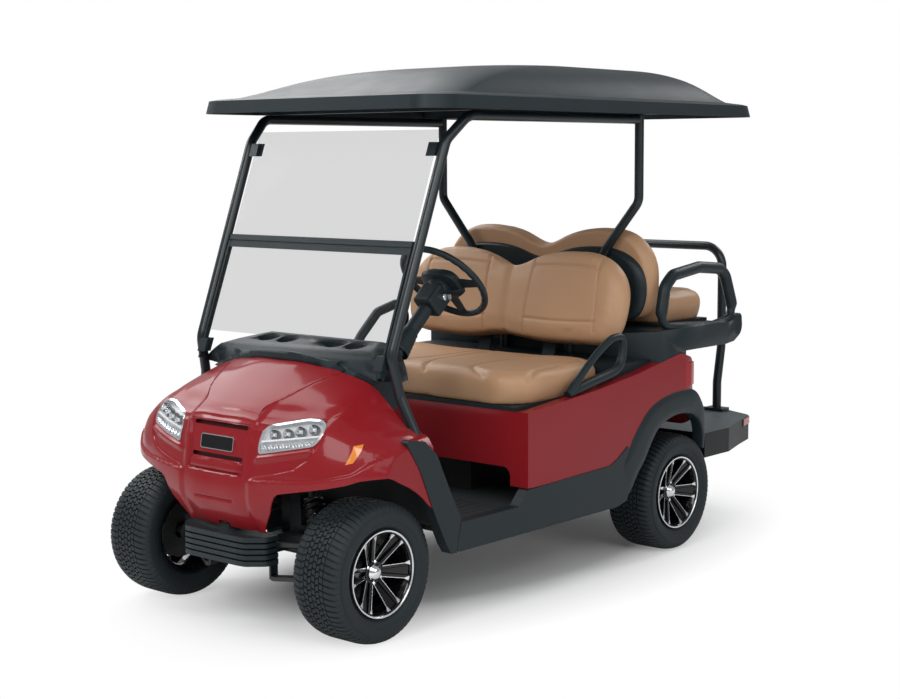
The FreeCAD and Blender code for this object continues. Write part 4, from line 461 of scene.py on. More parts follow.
rim = {
    "pairs": 6, "firstTurn": -5.5, "rootRadius": 0.034, "tipRadius": 0.131, "rootFace": 0.050, "tipFace": 0.0885,
    "rootSpread": 0.0115, "tipSpread": 0.0215, "spokeWidth": 0.0135, "spokeDepth": 0.017, "edgeWidth": 0.0022,
    "padThick": 0.0018, "padStart": 0.84, "padHalf": (0.0018, 0.0085), "nutCircle": 0.0345,
    "barrel": ((-0.090, 0.142), (-0.094, 0.1405), (-0.094, 0.137), (-0.088, 0.131), (-0.074, 0.1235),
               (-0.045, 0.117), (0.02, 0.114), (0.05, 0.118), (0.070, 0.1255), (0.084, 0.1290), (0.090, 0.1315),
               (0.0928, 0.1345), (0.0934, 0.1405), (0.089, 0.142), (0.0865, 0.1375), (0.080, 0.1275),
               (0.0, 0.1265), (-0.080, 0.1275), (-0.0865, 0.1375), (-0.090, 0.142)),
    "lip": ((0.090, 0.1421), (0.094, 0.1412), (0.0942, 0.1372), (0.0922, 0.1346), (0.090, 0.1338)),
    "hub": ((-0.02, 0.030), (-0.02, 0.042), (0.042, 0.042), (0.0505, 0.037), (0.0520, 0.030), (0.048, 0.028)),
    "cap": ((0.046, 0.0285), (0.056, 0.0275), (0.0595, 0.024), (0.0660, 0.020), (0.0702, 0.013), (0.0720, 0.002),
            (0.0720, 0.0002)),
    "drum": ((-0.03, 0.030), (-0.03, 0.098), (0.012, 0.098), (0.020, 0.090), (0.020, 0.055), (0.030, 0.050),
             (0.030, 0.030)),
    "nut": ((0.046, 0.0062), (0.054, 0.0062), (0.056, 0.004), (0.056, 0.0002)),
    "finishes": ("rimGloss", "rimMachined", "chrome", "suspensionSteel"),
}


# One double spoke: a back plate, and two bars, each with a machined edge and a pad at its end
def addSpokes(form, centre, axis, out, cross):
    depth = rim["spokeDepth"]
    root = centre + out * rim["rootRadius"] + axis * (rim["rootFace"] - depth / 2)
    tip = centre + out * rim["tipRadius"] + axis * (rim["tipFace"] - depth / 2)
    ahead = (tip - root).normalized()
    face = (axis - ahead * axis.dot(ahead)).normalized()
    addBar(form, root - face * 0.006, tip - face * 0.006, rim["rootSpread"] * 2.2, depth * 0.5, axis, 0,
           rim["tipSpread"] / rim["rootSpread"])
    for hand in (-1, 1):
        start = root + cross * (hand * rim["rootSpread"])
        end = tip + cross * (hand * rim["tipSpread"])
        addBar(form, start, end, rim["spokeWidth"], depth, axis, 0, 0.92)
        shift = cross * (hand * (rim["spokeWidth"] / 2 - rim["edgeWidth"] * 0.75))
        lift = face * (depth / 2 - 0.0004)
        addBar(form, start + shift + lift + (end - start) * 0.06, end + shift * 0.95 + lift, rim["edgeWidth"],
               rim["padThick"], axis, 1)
        padRoot = start.lerp(end, rim["padStart"]) + shift + lift
        padTip = end + shift + lift + out * 0.0032
        narrow, broad = (cross * half for half in rim["padHalf"])
        points = [padRoot - narrow, padRoot + narrow, padTip + broad, padTip - broad]
        points = [point + face * 0.0012 for point in points] + [point - face * 0.003 for point in points]
        addPart(form, points, boxFaces, 1)


def placeRim(name, x, station, body):
    form = newForm()
    centre = at(x, station, tyre["radius"])
    axis = Vector((1 if x > 0 else -1, 0, 0))
    for key, sides, mark in (("barrel", 96, 0), ("lip", 96, 1), ("hub", 48, 0), ("cap", 48, 2), ("drum", 48, 3)):
        addTurned(form, rim[key], centre, axis, sides, mark)
    outward, upward = Vector((0, 1, 0)), Vector((0, 0, 1))
    for pair in range(rim["pairs"]):
        turn = math.radians(rim["firstTurn"] + 360 / rim["pairs"] * pair)
        addSpokes(form, centre, axis, turned(outward, upward, turn), turned(upward, -outward, turn))
        if pair % 3:
            place = centre + turned(outward, upward, turn + math.radians(30)) * rim["nutCircle"]
            addTurned(form, rim["nut"], place, axis, 6, 2)
    placeForm(form, "rimSpokes_" + name, rim["finishes"], body, replaced="rim_" + name)


for name, facts in wheels.items():
    placeRim(name, **facts)
print("stage: rims")


# Front cowl: the same station and height shares as the part, then its recess, ledges, seams and openings

cowl = {
    "halfWidth": 585, "nose": -222, "sideRear": 205, "bottom": 340, "top": 905, "wall": 4.0, "seamWidth": 3.2,
    "across": (0.0, 0.17, 0.31, 0.42, 0.54, 0.66, 0.79, 0.9, 0.965, 1.0),
    "profiles": (
        ((0.11, 0), (0, 0.175), (0.033, 0.43), (0.084, 0.617), (0.178, 0.69), (0.44, 0.815), (0.7, 0.927), (1, 1)),
        ((0.117, 0), (0.002, 0.175), (0.033, 0.43), (0.084, 0.618), (0.185, 0.688), (0.44, 0.81), (0.705, 0.923),
         (1, 0.995)),
        ((0.155, 0), (0.03, 0.185), (0.045, 0.43), (0.095, 0.6), (0.2, 0.675), (0.445, 0.797), (0.73, 0.907),
         (1, 0.98)),
        ((0.19, 0), (0.06, 0.195), (0.06, 0.42), (0.125, 0.59), (0.235, 0.672), (0.46, 0.788), (0.76, 0.893),
         (1, 0.955)),
        ((0.22, 0), (0.095, 0.2), (0.085, 0.405), (0.16, 0.58), (0.27, 0.675), (0.48, 0.77), (0.79, 0.865),
         (1, 0.91)),
        ((0.26, 0), (0.145, 0.2), (0.13, 0.39), (0.205, 0.575), (0.315, 0.675), (0.5, 0.74), (0.8, 0.815),
         (1, 0.84)),
        ((0.32, 0), (0.215, 0.2), (0.2, 0.38), (0.25, 0.51), (0.34, 0.605), (0.52, 0.66), (0.8, 0.7), (1, 0.7)),
        ((0.39, 0), (0.32, 0.2), (0.305, 0.37), (0.335, 0.46), (0.41, 0.54), (0.57, 0.59), (0.82, 0.6), (1, 0.58)),
        ((0.47, 0), (0.415, 0.2), (0.4, 0.36), (0.425, 0.43), (0.49, 0.495), (0.63, 0.54), (0.84, 0.545),
         (1, 0.525)),
        ((0.57, 0), (0.52, 0.2), (0.505, 0.35), (0.525, 0.4), (0.575, 0.455), (0.69, 0.49), (0.86, 0.495),
         (1, 0.48))),
    "crisp": {"rows": (3, 4), "reach": 0.42, "amount": 0.9, "fade": (0.3, 0.55)},
    "recess": {"depth": 8.0, "half": 137, "flare": 13, "flareHeight": (620, 700), "low": (523, 531),
               "high": (687, 693)},
    "lip": {"height": 13.0, "half": (112, 124), "low": (530, 539), "high": (561, 566)},
    "groove": {"depth": 5.0, "half": (86, 102), "low": (433, 440), "high": (440, 446)},
    "ledge": ((149, 515), (304, 526), (392, 531), (462, 545), (515, 558), (553, 592), (573, 617), (590, 630)),
    "sideLedge": ((-101, 558), (-56, 592), (12, 617), (58, 629), (130, 642), (205, 650)), "ledgeHeight": 7.0,
    "scoop": ((149, 519), (266, 543), (336, 562), (380, 595), (398, 625), (420, 660)), "scoopDepth": 6.0,
    "sill": {"height": 8.0, "from": 193, "foot": 604, "slope": 0.196, "inner": (170, 196), "outer": (384, 398)},
    "seam": ((149, -150), (146, -116), (168, -88), (199, -47), (240, 44), (272, 118)), "hoodHeight": 2.5,
    "underCut": ((187, 300), (187, 346), (198, 362), (240, 413), (262, 458), (272, 474), (285, 484), (336, 494),
                 (404, 506), (462, 517), (509, 528), (541, 541), (567, 545), (650, 546), (650, 300)),
    "sideArch": ((-22, 300), (-22, 545.5), (-8, 545), (15, 537), (51, 518), (90, 499), (123, 478), (150, 457),
                 (170, 437), (190, 420), (215, 402), (230, 385), (230, 300)),
    "hoodRear": ((-526.5, 151.2), (-438.75, 145.1), (-292.5, 116.6), (-146.25, 89.2), (0, 78), (146.25, 89.2),
                 (292.5, 116.6), (438.75, 145.1), (526.5, 151.2)),
    "slots": (((-132, 671), (132, 671), (130, 685), (-130, 685)), ((-123, 569), (123, 569), (122, 583), (-122, 583))),
    "chinNotch": ((-24, 320), (40, 320), (34, 352), (22, 357), (-16, 357), (-22, 352)),
    "lamp": ((192, 601), (190, 657), (203, 694), (331, 722), (377, 722), (404, 709), (411, 678), (393, 641)),
}


# Points of the undetailed cowl in millimetres: x, station, z
def cowlGrid(across, along):
    profiles = np.array(cowl["profiles"], float).transpose(1, 0, 2)
    shares = np.array(cowl["across"])
    along = np.asarray(along, float)
    rows = curveThrough(np.arange(8), profiles, along)
    # The nose band keeps a crisp edge at its top and bottom
    crisp = cowl["crisp"]
    low = np.clip(np.floor(along).astype(int), 0, 6)
    share = (along - low)[:, None, None]
    straight = profiles[low] * (1 - share) + profiles[low + 1] * share
    gap = np.minimum(*(np.abs(along - row) for row in crisp["rows"]))
    weight = crisp["amount"] * np.exp(-(gap / crisp["reach"]) ** 4)[:, None, None]
    weight = weight * (1 - step(*crisp["fade"], np.abs(shares)))[None, :, None]
    rows = rows * (1 - weight) + straight * weight
    keys = np.concatenate([-shares[:0:-1], shares])
    whole = np.concatenate([rows[:, :0:-1], rows], axis=1)
    grid = curveThrough(keys, whole.transpose(1, 0, 2), across)
    x = np.repeat((np.asarray(across) * cowl["halfWidth"])[:, None], len(along), 1)
    return np.stack([x, cowl["nose"] + grid[..., 0] * (cowl["sideRear"] - cowl["nose"]),
                     cowl["bottom"] + grid[..., 1] * (cowl["top"] - cowl["bottom"])], -1)


def gridNormals(grid):
    normal = np.cross(np.gradient(grid, axis=0), np.gradient(grid, axis=1))
    return normal / np.maximum(np.linalg.norm(normal, axis=-1, keepdims=True), 1e-9)


# How far each place stands out from the plain form, in millimetres
def cowlRelief(grid):
    x, station, z = np.abs(grid[..., 0]), grid[..., 1], grid[..., 2]
    recess, lip, groove, sill = (cowl[key] for key in ("recess", "lip", "groove", "sill"))
    front = 1 - step(-60, 20, station)
    keystone = recess["half"] + recess["flare"] * step(*recess["flareHeight"], z)
    inside = 1 - step(keystone - 5, keystone + 1, x)
    relief = -recess["depth"] * inside * band(z, recess["low"], recess["high"])
    relief = relief + lip["height"] * (1 - step(*lip["half"], x)) * band(z, lip["low"], lip["high"])
    relief = relief - groove["depth"] * (1 - step(*groove["half"], x)) * band(z, groove["low"], groove["high"])
    outward = step(500, 535, x)
    ledgeTop = np.interp(x, *zip(*cowl["ledge"])) * (1 - outward) \
        + outward * np.interp(station, *zip(*cowl["sideLedge"]))
    beside = step(148, 175, x)
    relief = relief + cowl["ledgeHeight"] * beside * (1 - step(ledgeTop - 3, ledgeTop + 5, z))
    scoopTop = np.interp(x, *zip(*cowl["scoop"]))
    scooped = step(scoopTop - 2, scoopTop + 7, z) * (1 - step(395, 420, x)) * (1 - step(735, 760, z))
    relief = relief - cowl["scoopDepth"] * beside * scooped * front
    foot = sill["foot"] + (x - sill["from"]) * sill["slope"]
    risen = step(foot - 34, foot - 16, z) * (1 - step(foot - 16, foot - 2, z))
    relief = relief + sill["height"] * risen * band(x, sill["inner"], sill["outer"]) * front
    seamAcross = np.interp(station, [y for a, y in cowl["seam"]], [a for a, y in cowl["seam"]])
    hood = (1 - step(seamAcross - 2, seamAcross + 2, x)) * step(722, 742, z) * step(-152, -135, station)
    return relief + cowl["hoodHeight"] * hood


def sheetPoints(grid):
    return [at(*point) for point in (grid.reshape(-1, 3) / 1000).tolist()]


# A closed sheet from outer and inner grids
def closedSheet(outer, inner):
    rows, columns = outer.shape[:2]
    count = rows * columns
    faces = gridFaces(rows, columns)
    faces += [tuple(count + corner for corner in reversed(face)) for face in faces]
    edge = [*range(columns)] + [r * columns + columns - 1 for r in range(1, rows)]
    edge += [(rows - 1) * columns + c for c in range(columns - 2, -1, -1)]
    edge += [r * columns for r in range(rows - 2, 0, -1)]
    for corner, following in zip(edge, edge[1:] + edge[:1]):
        faces.append((following, corner, count + corner, count + following))
    return solidFrom(sheetPoints(outer) + sheetPoints(inner), faces)


# A mesh's faces turned outward, after its double vertices are merged if asked and what edit does
def mendMesh(mesh, weld=False, edit=None):
    shape = bmesh.new()
    shape.from_mesh(mesh)
    if weld:
        bmesh.ops.remove_doubles(shape, verts=shape.verts, dist=0.00001)
    bmesh.ops.recalc_face_normals(shape, faces=shape.faces)
    if edit:
        edit(shape)
    shape.to_mesh(mesh)
    shape.free()


def solidFrom(points, faces):
    mesh = newMesh("cutter", points, faces)
    mendMesh(mesh)
    return newPiece("cutter", mesh)


# An outline in millimetres pushed through a range: plane names its two directions
def prism(outline, plane, low, high):
    order = {"XZ": (0, 2, 1), "YZ": (1, 2, 0), "XY": (0, 1, 2)}[plane]
    points = []
    for depth in (low, high):
        for pair in outline:
            place = [0, 0, 0]
            place[order[0]], place[order[1]], place[order[2]] = pair[0], pair[1], depth
            points.append(at(*[value / 1000 for value in place]))
    count = len(outline)
    faces = [tuple(range(count)), tuple(range(2 * count - 1, count - 1, -1))]
    faces += [(k, (k + 1) % count, count + (k + 1) % count, count + k) for k in range(count)]
    return solidFrom(points, faces)


def roundedLoop(corners, radius, steps=6):
    loop = []
    count = len(corners)
    for number in range(count):
        here = Vector(corners[number])
        before = Vector(corners[number - 1]) - here
        after = Vector(corners[(number + 1) % count]) - here
        cut = min(radius, before.length * 0.45, after.length * 0.45)
        start, end = here + before.normalized() * cut, here + after.normalized() * cut
        for k in range(steps + 1):
            share = k / steps
            loop.append(tuple(start * (1 - share) ** 2 + here * 2 * share * (1 - share) + end * share ** 2))
    return loop


def insetLoop(loop, distance):
    area = sum(a[0] * b[1] - b[0] * a[1] for a, b in zip(loop, loop[1:] + loop[:1]))
    sign = 1 if area > 0 else -1
    moved = []
    for number in range(len(loop)):
        ahead = Vector(loop[(number + 1) % len(loop)]) - Vector(loop[number - 1])
        normal = Vector((-ahead.y, ahead.x)).normalized() * sign
        moved.append(tuple(Vector(loop[number]) + normal * distance))
    return moved


def onSide(outline, hand):  # an outline of the left side, or its mirror image
    return list(outline) if hand > 0 else [(-x, z) for x, z in reversed(outline)]


# Cuts solids off a piece, or keeps what it shares with them, and removes them
def carve(piece, cutters, operation="DIFFERENCE"):
    for cutter in cutters:
        modify(piece, "BOOLEAN", operation=operation, solver="MANIFOLD", object=cutter)
    for cutter in cutters:
        bpy.data.objects.remove(cutter)
    return piece


# Part of the cowl's surface as a solid: its outer face stands out by outset, and it is depth thick
def cowlPatch(across, along, outset, depth):
    grid = cowlGrid(across, along)
    normal = gridNormals(grid)
    return closedSheet(grid + normal * outset, grid + normal * (outset - depth))


# A patch of the cowl cut to an outline, and hollowed by another if given
def cutPatch(span, outset, depth, outline, hollow=None, frontTo=0):
    patch = carve(cowlPatch(*span, outset, depth), [prism(outline, "XZ", -300, frontTo)], "INTERSECT")
    return carve(patch, [prism(hollow, "XZ", -300, frontTo)]) if hollow else patch


centre = np.concatenate([np.linspace(0, 0.27, 54), np.linspace(0.274, 0.72, 66), np.linspace(0.73, 1.0, 34)])
acrossPlaces = np.concatenate([-centre[:0:-1], centre])
alongPlaces = np.concatenate([np.linspace(0, 0.9, 12), np.linspace(0.95, 3.3, 76), np.linspace(3.35, 4.2, 20),
                              np.linspace(4.3, 7, 24)])
grid = cowlGrid(acrossPlaces, alongPlaces)
outerGrid = grid + gridNormals(grid) * cowlRelief(grid)[..., None]
# The flat outer sides run from the fender's edge back to the pillar
sides = []
rearHeight = np.linspace(cowl["bottom"], grid[0, -1, 2], len(alongPlaces))
for column in (0, -1):
    edge = outerGrid[column]
    back = np.stack([edge[:, 0], np.full(len(edge), cowl["sideRear"] + 0.5), rearHeight], -1)
    sides.append([edge + (back - edge) * share for share in (0.012, 0.04, 0.1, 0.25, 0.45, 0.7, 1.0)])
outerGrid = np.concatenate([np.array(sides[0][::-1]), outerGrid, np.array(sides[1])], axis=0)
cowlPiece = closedSheet(outerGrid, outerGrid - gridNormals(outerGrid) * cowl["wall"])

lampLoop = roundedLoop(cowl["lamp"], 16)
seamPath = smoothLine(cowl["seam"], 6)
hoodAcross = np.linspace(-526.5, 526.5, 61)
behindHood = list(zip(hoodAcross, curveThrough(*zip(*cowl["hoodRear"]), hoodAcross))) + [(526.5, 420), (-526.5, 420)]


def seamBand(hand, half):
    return [(hand * (x - half), y) for x, y in seamPath[::-1]] + [(hand * (x + half), y) for x, y in seamPath]


cutters = []
for hand, label in hands:
    cutters.append(prism(onSide(cowl["underCut"], hand), "XZ", -320, -21.5))
    cutters.append(prism(cowl["sideArch"], "YZ", *sorted((hand * 300, hand * 660))))
    cutters.append(prism(onSide(lampLoop, hand), "XZ", -300, 0))
cutters.append(prism(behindHood, "XY", 656.3, 1000))
cutters += [prism(roundedLoop(slot, 5), "XZ", -300, -90) for slot in cowl["slots"]]
cutters.append(prism(cowl["chinNotch"], "XZ", -300, -120))
cutters += [prism(seamBand(hand, cowl["seamWidth"] / 2), "XY", 700, 960) for hand, label in hands]
carve(cowlPiece, cutters)
dress(cowlPiece, "cowlShell", ["bodyPaint"], sharp=38, replaced="front_cowl")
print("stage: cowl", len(cowlPiece.data.polygons))

# Dark red sheets of painted shade behind each hood seam and behind the nose slots, standing for the shade inside these
# gaps; on the right the grid's normals point inward
for hand, label in hands:
    shadeSheet = cowlPatch(np.linspace(0.22, 0.50, 40) * hand, np.linspace(3.4, 6.6, 60), -1.6 * hand, 2.0 * hand)
    carve(shadeSheet, [prism(seamBand(hand, 7), "XY", 690, 960)], "INTERSECT")
    dress(shadeSheet, "seamShadeSheet_" + label, ["seamShadow"])
slotSpan = (np.linspace(-0.25, 0.25, 60), np.linspace(1.2, 3.2, 40))
slotOutline = [(-140, 552), (140, 552), (142, 702), (-142, 702)]
dress(cutPatch(slotSpan, -24, 2.0, slotOutline), "slotShadeSheet", ["seamShadow"])

# Bare plate between the slots: a black face in a thin bright rim
plate = {"corners": ((-80, 597), (80, 597), (80, 645), (-80, 645)), "round": 10, "rim": 2.6,
         "span": (np.linspace(-0.16, 0.16, 40), np.linspace(1.6, 3.0, 40))}
plateLoop = roundedLoop(plate["corners"], plate["round"])
plateInside = insetLoop(plateLoop, plate["rim"])
dress(cutPatch(plate["span"], -3.5, 5.5, plateInside), "nosePlate", ["rimGloss"])
dress(cutPatch(plate["span"], -2.6, 6.5, plateLoop, plateInside), "nosePlateRim", ["lampMetal"])

# Headlights: a clear lens over a silver surround, four round lamps and a low row of small ones
headlight = {
    "cups": ((240, 669), (287, 677), (329, 686), (370, 695)), "cupRadius": 0.0155,
    "cupParts": (  # (depth, share of the radius) pairs, sides, finish
        (((-0.016, 0.95), (0.0, 1.1), (0.003, 1.08), (0.003, 0.98)), 24, 0),
        (((0.003, 0.98), (-0.004, 0.86), (-0.010, 0.62), (-0.013, 0.34)), 24, 1),
        (((-0.013, 0.42), (-0.004, 0.40), (0.001, 0.26), (0.002, 0.02)), 16, 2)),
    "lowRow": ((214, 634), (236, 637), (258, 640), (280, 643), (302, 646.5), (324, 650), (346, 653.5), (368, 657),
               (388, 660)),
    "lowParts": ((((-0.012, 0.0088), (0.0, 0.0088), (0.002, 0.0075)), 1),
                 (((0.002, 0.0075), (-0.003, 0.004), (-0.002, 0.0002)), 3)),
    "shelf": ((196, 640), (404, 671), (404, 676), (196, 646)),
    "marker": ((-73, 648), (-47, 652), (-91, 597), (-107, 592)),
    "layers": (  # name, outset, depth, width left at the edge, finish
        ("lampLens", -1.5, 2.2, None, "lampClear"), ("lampSurround", -4.5, 5.0, 7.0, "lampMetal"),
        ("lampWall", -8.0, 24.0, 3.0, "lampWhite"), ("lampBack", -28.0, 2.5, None, "lampWhite")),
}


# A place under the cowl's surface, and the way that a lamp there looks: out and a little more ahead
def lampPlace(x, z, depth):
    sign = 1 if x > 0 else -1
    surface = cowlGrid(np.linspace(0.3, 0.75, 91) * sign, np.linspace(1.6, 4.4, 141))
    gap = np.hypot(surface[..., 0] - x, surface[..., 2] - z)
    spot = np.unravel_index(np.argmin(gap), gap.shape)
    normal = (gridNormals(surface) * sign)[spot]
    aim = (Vector(normal.tolist()) + Vector((0, -1.2, 0))).normalized()
    return at(*((surface[spot] + normal * depth) / 1000).tolist()), aim


for hand, label in hands:
    span = (np.linspace(0.29, 0.74, 90) * hand, np.linspace(1.5, 4.4, 90))
    loop = onSide(lampLoop, hand)
    for name, outset, depth, width, finish in headlight["layers"]:
        layer = cutPatch(span, outset * hand, depth * hand, insetLoop(loop, 1.0), width and insetLoop(loop, width), 20)
        isLens = name == "lampLens"
        dress(layer, name + "_" + label, [finish],
              replaced="headlights" if isLens and hand > 0 else None)
    form = newForm()
    for x, z in headlight["cups"]:
        place, aim = lampPlace(hand * x, z, -8.0)
        r = headlight["cupRadius"]
        for profile, ringSides, mark in headlight["cupParts"]:
            addTurned(form, [(along, r * share) for along, share in profile], place, aim, ringSides, mark)
        one = aim.orthogonal().normalized()
        for k in range(8):
            arm = turned(one, aim.cross(one), math.pi * k / 4)
            addBar(form, place + arm * r * 0.45 - aim * 0.010, place + arm * r * 0.93, 0.0014, 0.002, aim, 0)
    for x, z in headlight["lowRow"]:
        place, aim = lampPlace(hand * x, z - 8, -9.0)
        for profile, mark in headlight["lowParts"]:
            addTurned(form, profile, place, aim, 6, mark)
    placeForm(form, "lampCups_" + label, ["lampDark", "chrome", "lampWhite", "lampMetal"], sharp=40)
    shelf = cutPatch(span, -6.5 * hand, 22.0 * hand, onSide(headlight["shelf"], hand), frontTo=20)
    dress(shelf, "lampShelf_" + label, ["lampWhite"])
    marker = cowlPatch(np.linspace(0.78, 0.93, 40) * hand, np.linspace(2.0, 5.0, 60), 1.2 * hand, 4.5 * hand)
    carve(marker, [prism(headlight["marker"], "YZ", *sorted((hand * 400, hand * 600)))], "INTERSECT")
    dress(marker, "markerLamp_" + label, ["lampAmber"])
print("stage: headlights")


# Cushions: each CAD pad is drawn in, swelled with cloth pressure, then sewn

def swellCloth(piece, facts):
    start = [vertex.co.copy() for vertex in piece.data.vertices]
    cloth = piece.modifiers.new("cloth", "CLOTH")
    settings = cloth.settings
    settings.use_pressure = True
    settings.uniform_pressure_force = facts["pressure"]
    settings.effector_weights.gravity = 0.0
    settings.tension_stiffness = 25
    settings.compression_stiffness = 25
    settings.quality = 5
    cloth.collision_settings.use_collision = False
    cloth.point_cache.frame_start = 1
    cloth.point_cache.frame_end = 20
    for number in range(1, 21):
        scene.frame_set(number)
    applyModifiers(piece)
    for vertex, before in zip(piece.data.vertices, start):
        move = vertex.co - before
        if move.length > facts["cap"]:
            vertex.co = before + move * (facts["cap"] / move.length)
    scene.frame_set(1)


def seatPad(name, node, body, facts):
    source = nodes[node].data.copy()
    piece = newPiece(name, source)
    low, high = (Vector(corner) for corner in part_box(node))
    middle, size = (low + high) / 2, high - low
    for vertex in source.vertices:
        for axis in range(3):
            scale = (size[axis] - 2 * facts["inset"][axis]) / size[axis]
            vertex.co[axis] = middle[axis] + (vertex.co[axis] - middle[axis]) * scale
    modify(piece, "REMESH", mode="VOXEL", voxel_size=facts["voxel"])
    modify(piece, "SMOOTH", factor=0.5, iterations=3)
    swellCloth(piece, facts)
    modify(piece, "SUBSURF", levels=1, render_levels=1)
    seams = seamList(facts)
    sew(piece.data, facts, seams, low, high)
    dress(piece, name, ["seatVinyl"], body, None, node)
    stitches(name + "Thread", piece.data, facts, seams, body)
    print("stage:", name, len(piece.data.polygons))


# Every seam as its line, depth, width and the distance of its thread: the pairs, then the middle one
def seamList(facts):
    start, sense = facts["from"]
    seams = [([(hand * x, start + sense * along) for x, along in line], *values)
             for hand, label in hands for line, *values in facts["seams"]]
    return [(smoothLine(line, 8) if len(line) > 2 else np.array(line, float), *values)
            for line, *values in seams + facts.get("middle", [])]


# Seams press a narrow valley, wide channels a shallow one; nothing passes the pad's own box by more than its limit
def sew(mesh, facts, seams, low, high):
    count = len(mesh.vertices)
    points, normals = np.empty(count * 3), np.empty(count * 3)
    mesh.vertices.foreach_get("co", points)
    mesh.vertices.foreach_get("normal", normals)
    points, normals = points.reshape(-1, 3), normals.reshape(-1, 3)
    facing = normals @ np.array(facts["facing"], float)
    shift = np.zeros(count)
    flat = points[:, facts["plane"]]
    for line, depth, width, thread in seams:
        distance = np.full(count, 1e9)
        for start, end in zip(line[:-1], line[1:]):
            along = end - start
            share = np.clip(((flat - start) @ along) / max(along @ along, 1e-12), 0, 1)
            distance = np.minimum(distance, np.hypot(*(flat - (start + share[:, None] * along)).T))
        shift += depth * np.exp(-(distance / width) ** 2) * np.clip(facing * 2 - 0.2, 0, 1)
    points = points - normals * shift[:, None]
    points = np.clip(points, np.array(low) - facts["proudLow"], np.array(high) + facts["proudHigh"])
    mesh.vertices.foreach_set("co", points.ravel())
    mesh.update()


stitch = {"spacing": 0.0075, "half": 0.0023, "radius": 0.0007, "lift": 0.0004, "bow": 0.0005}


# Rows of thread beside a seam, laid on the pad's surface
def stitches(name, mesh, facts, seams, body):
    tree = BVHTree.FromPolygons([v.co for v in mesh.vertices], [tuple(p.vertices) for p in mesh.polygons])
    form = newForm()
    one, two = facts["plane"]
    facing = Vector(facts["facing"])
    for points, depth, width, thread in seams:
        if not thread:
            continue
        line = [Vector(point) for point in points]
        travelled, spots = 0.0, []
        for start, end in zip(line[:-1], line[1:]):
            length = (end - start).length
            while length > 1e-6 and travelled <= length:
                spots.append((start.lerp(end, travelled / length), (end - start).normalized()))
                travelled += stitch["spacing"]
            travelled -= length
        for spot, ahead in spots:
            ends = []
            for reach in (-stitch["half"], stitch["half"]):
                flat = spot + Vector((-ahead.y, ahead.x)) * thread + ahead * reach
                ray = mesh.vertices[0].co.copy()
                ray[one], ray[two] = flat.x, flat.y
                hit, normal, face, distance = tree.ray_cast(ray + facing * 3, -facing)
                if hit is not None and normal.dot(facing) > 0.15:
                    ends.append(hit + normal * stitch["lift"])
            if len(ends) == 2:
                middle = (ends[0] + ends[1]) / 2 + facing * stitch["bow"]
                addTube(form, [ends[0], middle, ends[1]], stitch["radius"], 5)
    placeForm(form, name, ["seatThread"], body, sharp=60)


backSeam = (0.004, 0.0055, 0.005)  # depth, width and thread
frontBase = {
    "inset": (-0.003, -0.004, -0.002), "voxel": 0.011, "pressure": 4.0, "cap": 0.011, "fill": 0.75,
    "proudLow": (0.003, 0.006, 0.0), "proudHigh": (0.003, 0.004, 0.008), "plane": (0, 1), "facing": (0, 0, 1),
    "from": (frontAxle, 1),
    "seams": [
        (((0.385, 0.690), (0.275, 0.775), (0.245, 0.90), (0.262, 1.02), (0.335, 1.12)), 0.009, 0.013, 0),
        (((0.550, 0.735), (0.500, 0.86), (0.482, 1.0), (0.476, 1.16)), 0.007, 0.010, 0.006),
        (((0.105, 0.690), (0.052, 0.80), (0.030, 0.95), (0.030, 1.22)), 0.007, 0.011, 0.006)],
}
frontBack = {
    "inset": (-0.004, 0.002, -0.007), "voxel": 0.010, "pressure": 4.0, "cap": 0.011, "fill": 0.7,
    "proudLow": (0.004, 0.006, 0.004), "proudHigh": (0.004, 0.0, 0.006), "plane": (0, 2), "facing": (0, -1, 0),
    "from": (0, 1),
    "seams": [(line, *backSeam) for line in (
        ((0.100, 0.868), (0.106, 1.00), (0.116, 1.160)), ((0.442, 0.890), (0.438, 1.00), (0.424, 1.165)),
        ((0.114, 1.128), (0.270, 1.134), (0.427, 1.130)), ((0.103, 0.925), (0.270, 0.922), (0.440, 0.928)))],
    "middle": [([(0, 0.83), (0, 1.15)], 0.008, 0.016, 0)],
}
rearBack = {
    "inset": (-0.005, 0.0, -0.008), "voxel": 0.010, "pressure": 4.0, "cap": 0.012, "fill": 0.7,
    "proudLow": (0.004, 0.0, 0.004), "proudHigh": (0.004, 0.006, 0.006), "plane": (0, 2), "facing": (0, 1, 0),
    "from": (0, 1),
    "seams": [(line, *backSeam) for line in (
        ((0.096, 0.945), (0.102, 1.07), (0.112, 1.225)), ((0.428, 0.960), (0.424, 1.07), (0.410, 1.225)),
        ((0.110, 1.192), (0.260, 1.198), (0.413, 1.194)), ((0.099, 0.998), (0.260, 0.995), (0.426, 1.000)))],
    "middle": [([(0, 0.91), (0, 1.22)], 0.008, 0.016, 0)],
}
rearBase = {
    "inset": (-0.006, -0.005, -0.003), "voxel": 0.010, "pressure": 4.0, "cap": 0.012, "fill": 0.75,
    "proudLow": (0.006, 0.0, 0.0), "proudHigh": (0.006, 0.006, 0.008), "plane": (0, 1), "facing": (0, 0, 1),
    "from": (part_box("rear_seat_cushion")[1][1], -1),
    "seams": [(line, 0.006, 0.009, 0.006) for line in (
        ((0.060, 0.02), (0.050, 0.14), (0.050, 0.36)), ((0.440, 0.03), (0.430, 0.14), (0.425, 0.36)),
        ((0.055, 0.105), (0.24, 0.098), (0.432, 0.108)))],
}
seatPad("frontCushionPad", "front_seat_cushion", "front_seat_bottom", frontBase)
seatPad("frontBackPad", "front_seat_back", "chassis", frontBack)
seatPad("rearBackPad", "rear_seat_back", "chassis", rearBack)
seatPad("rearCushionPad", "rear_seat_cushion", "rear_seat_bottom", rearBase)


# Steering wheel: a thick grip on three spokes round a padded hub

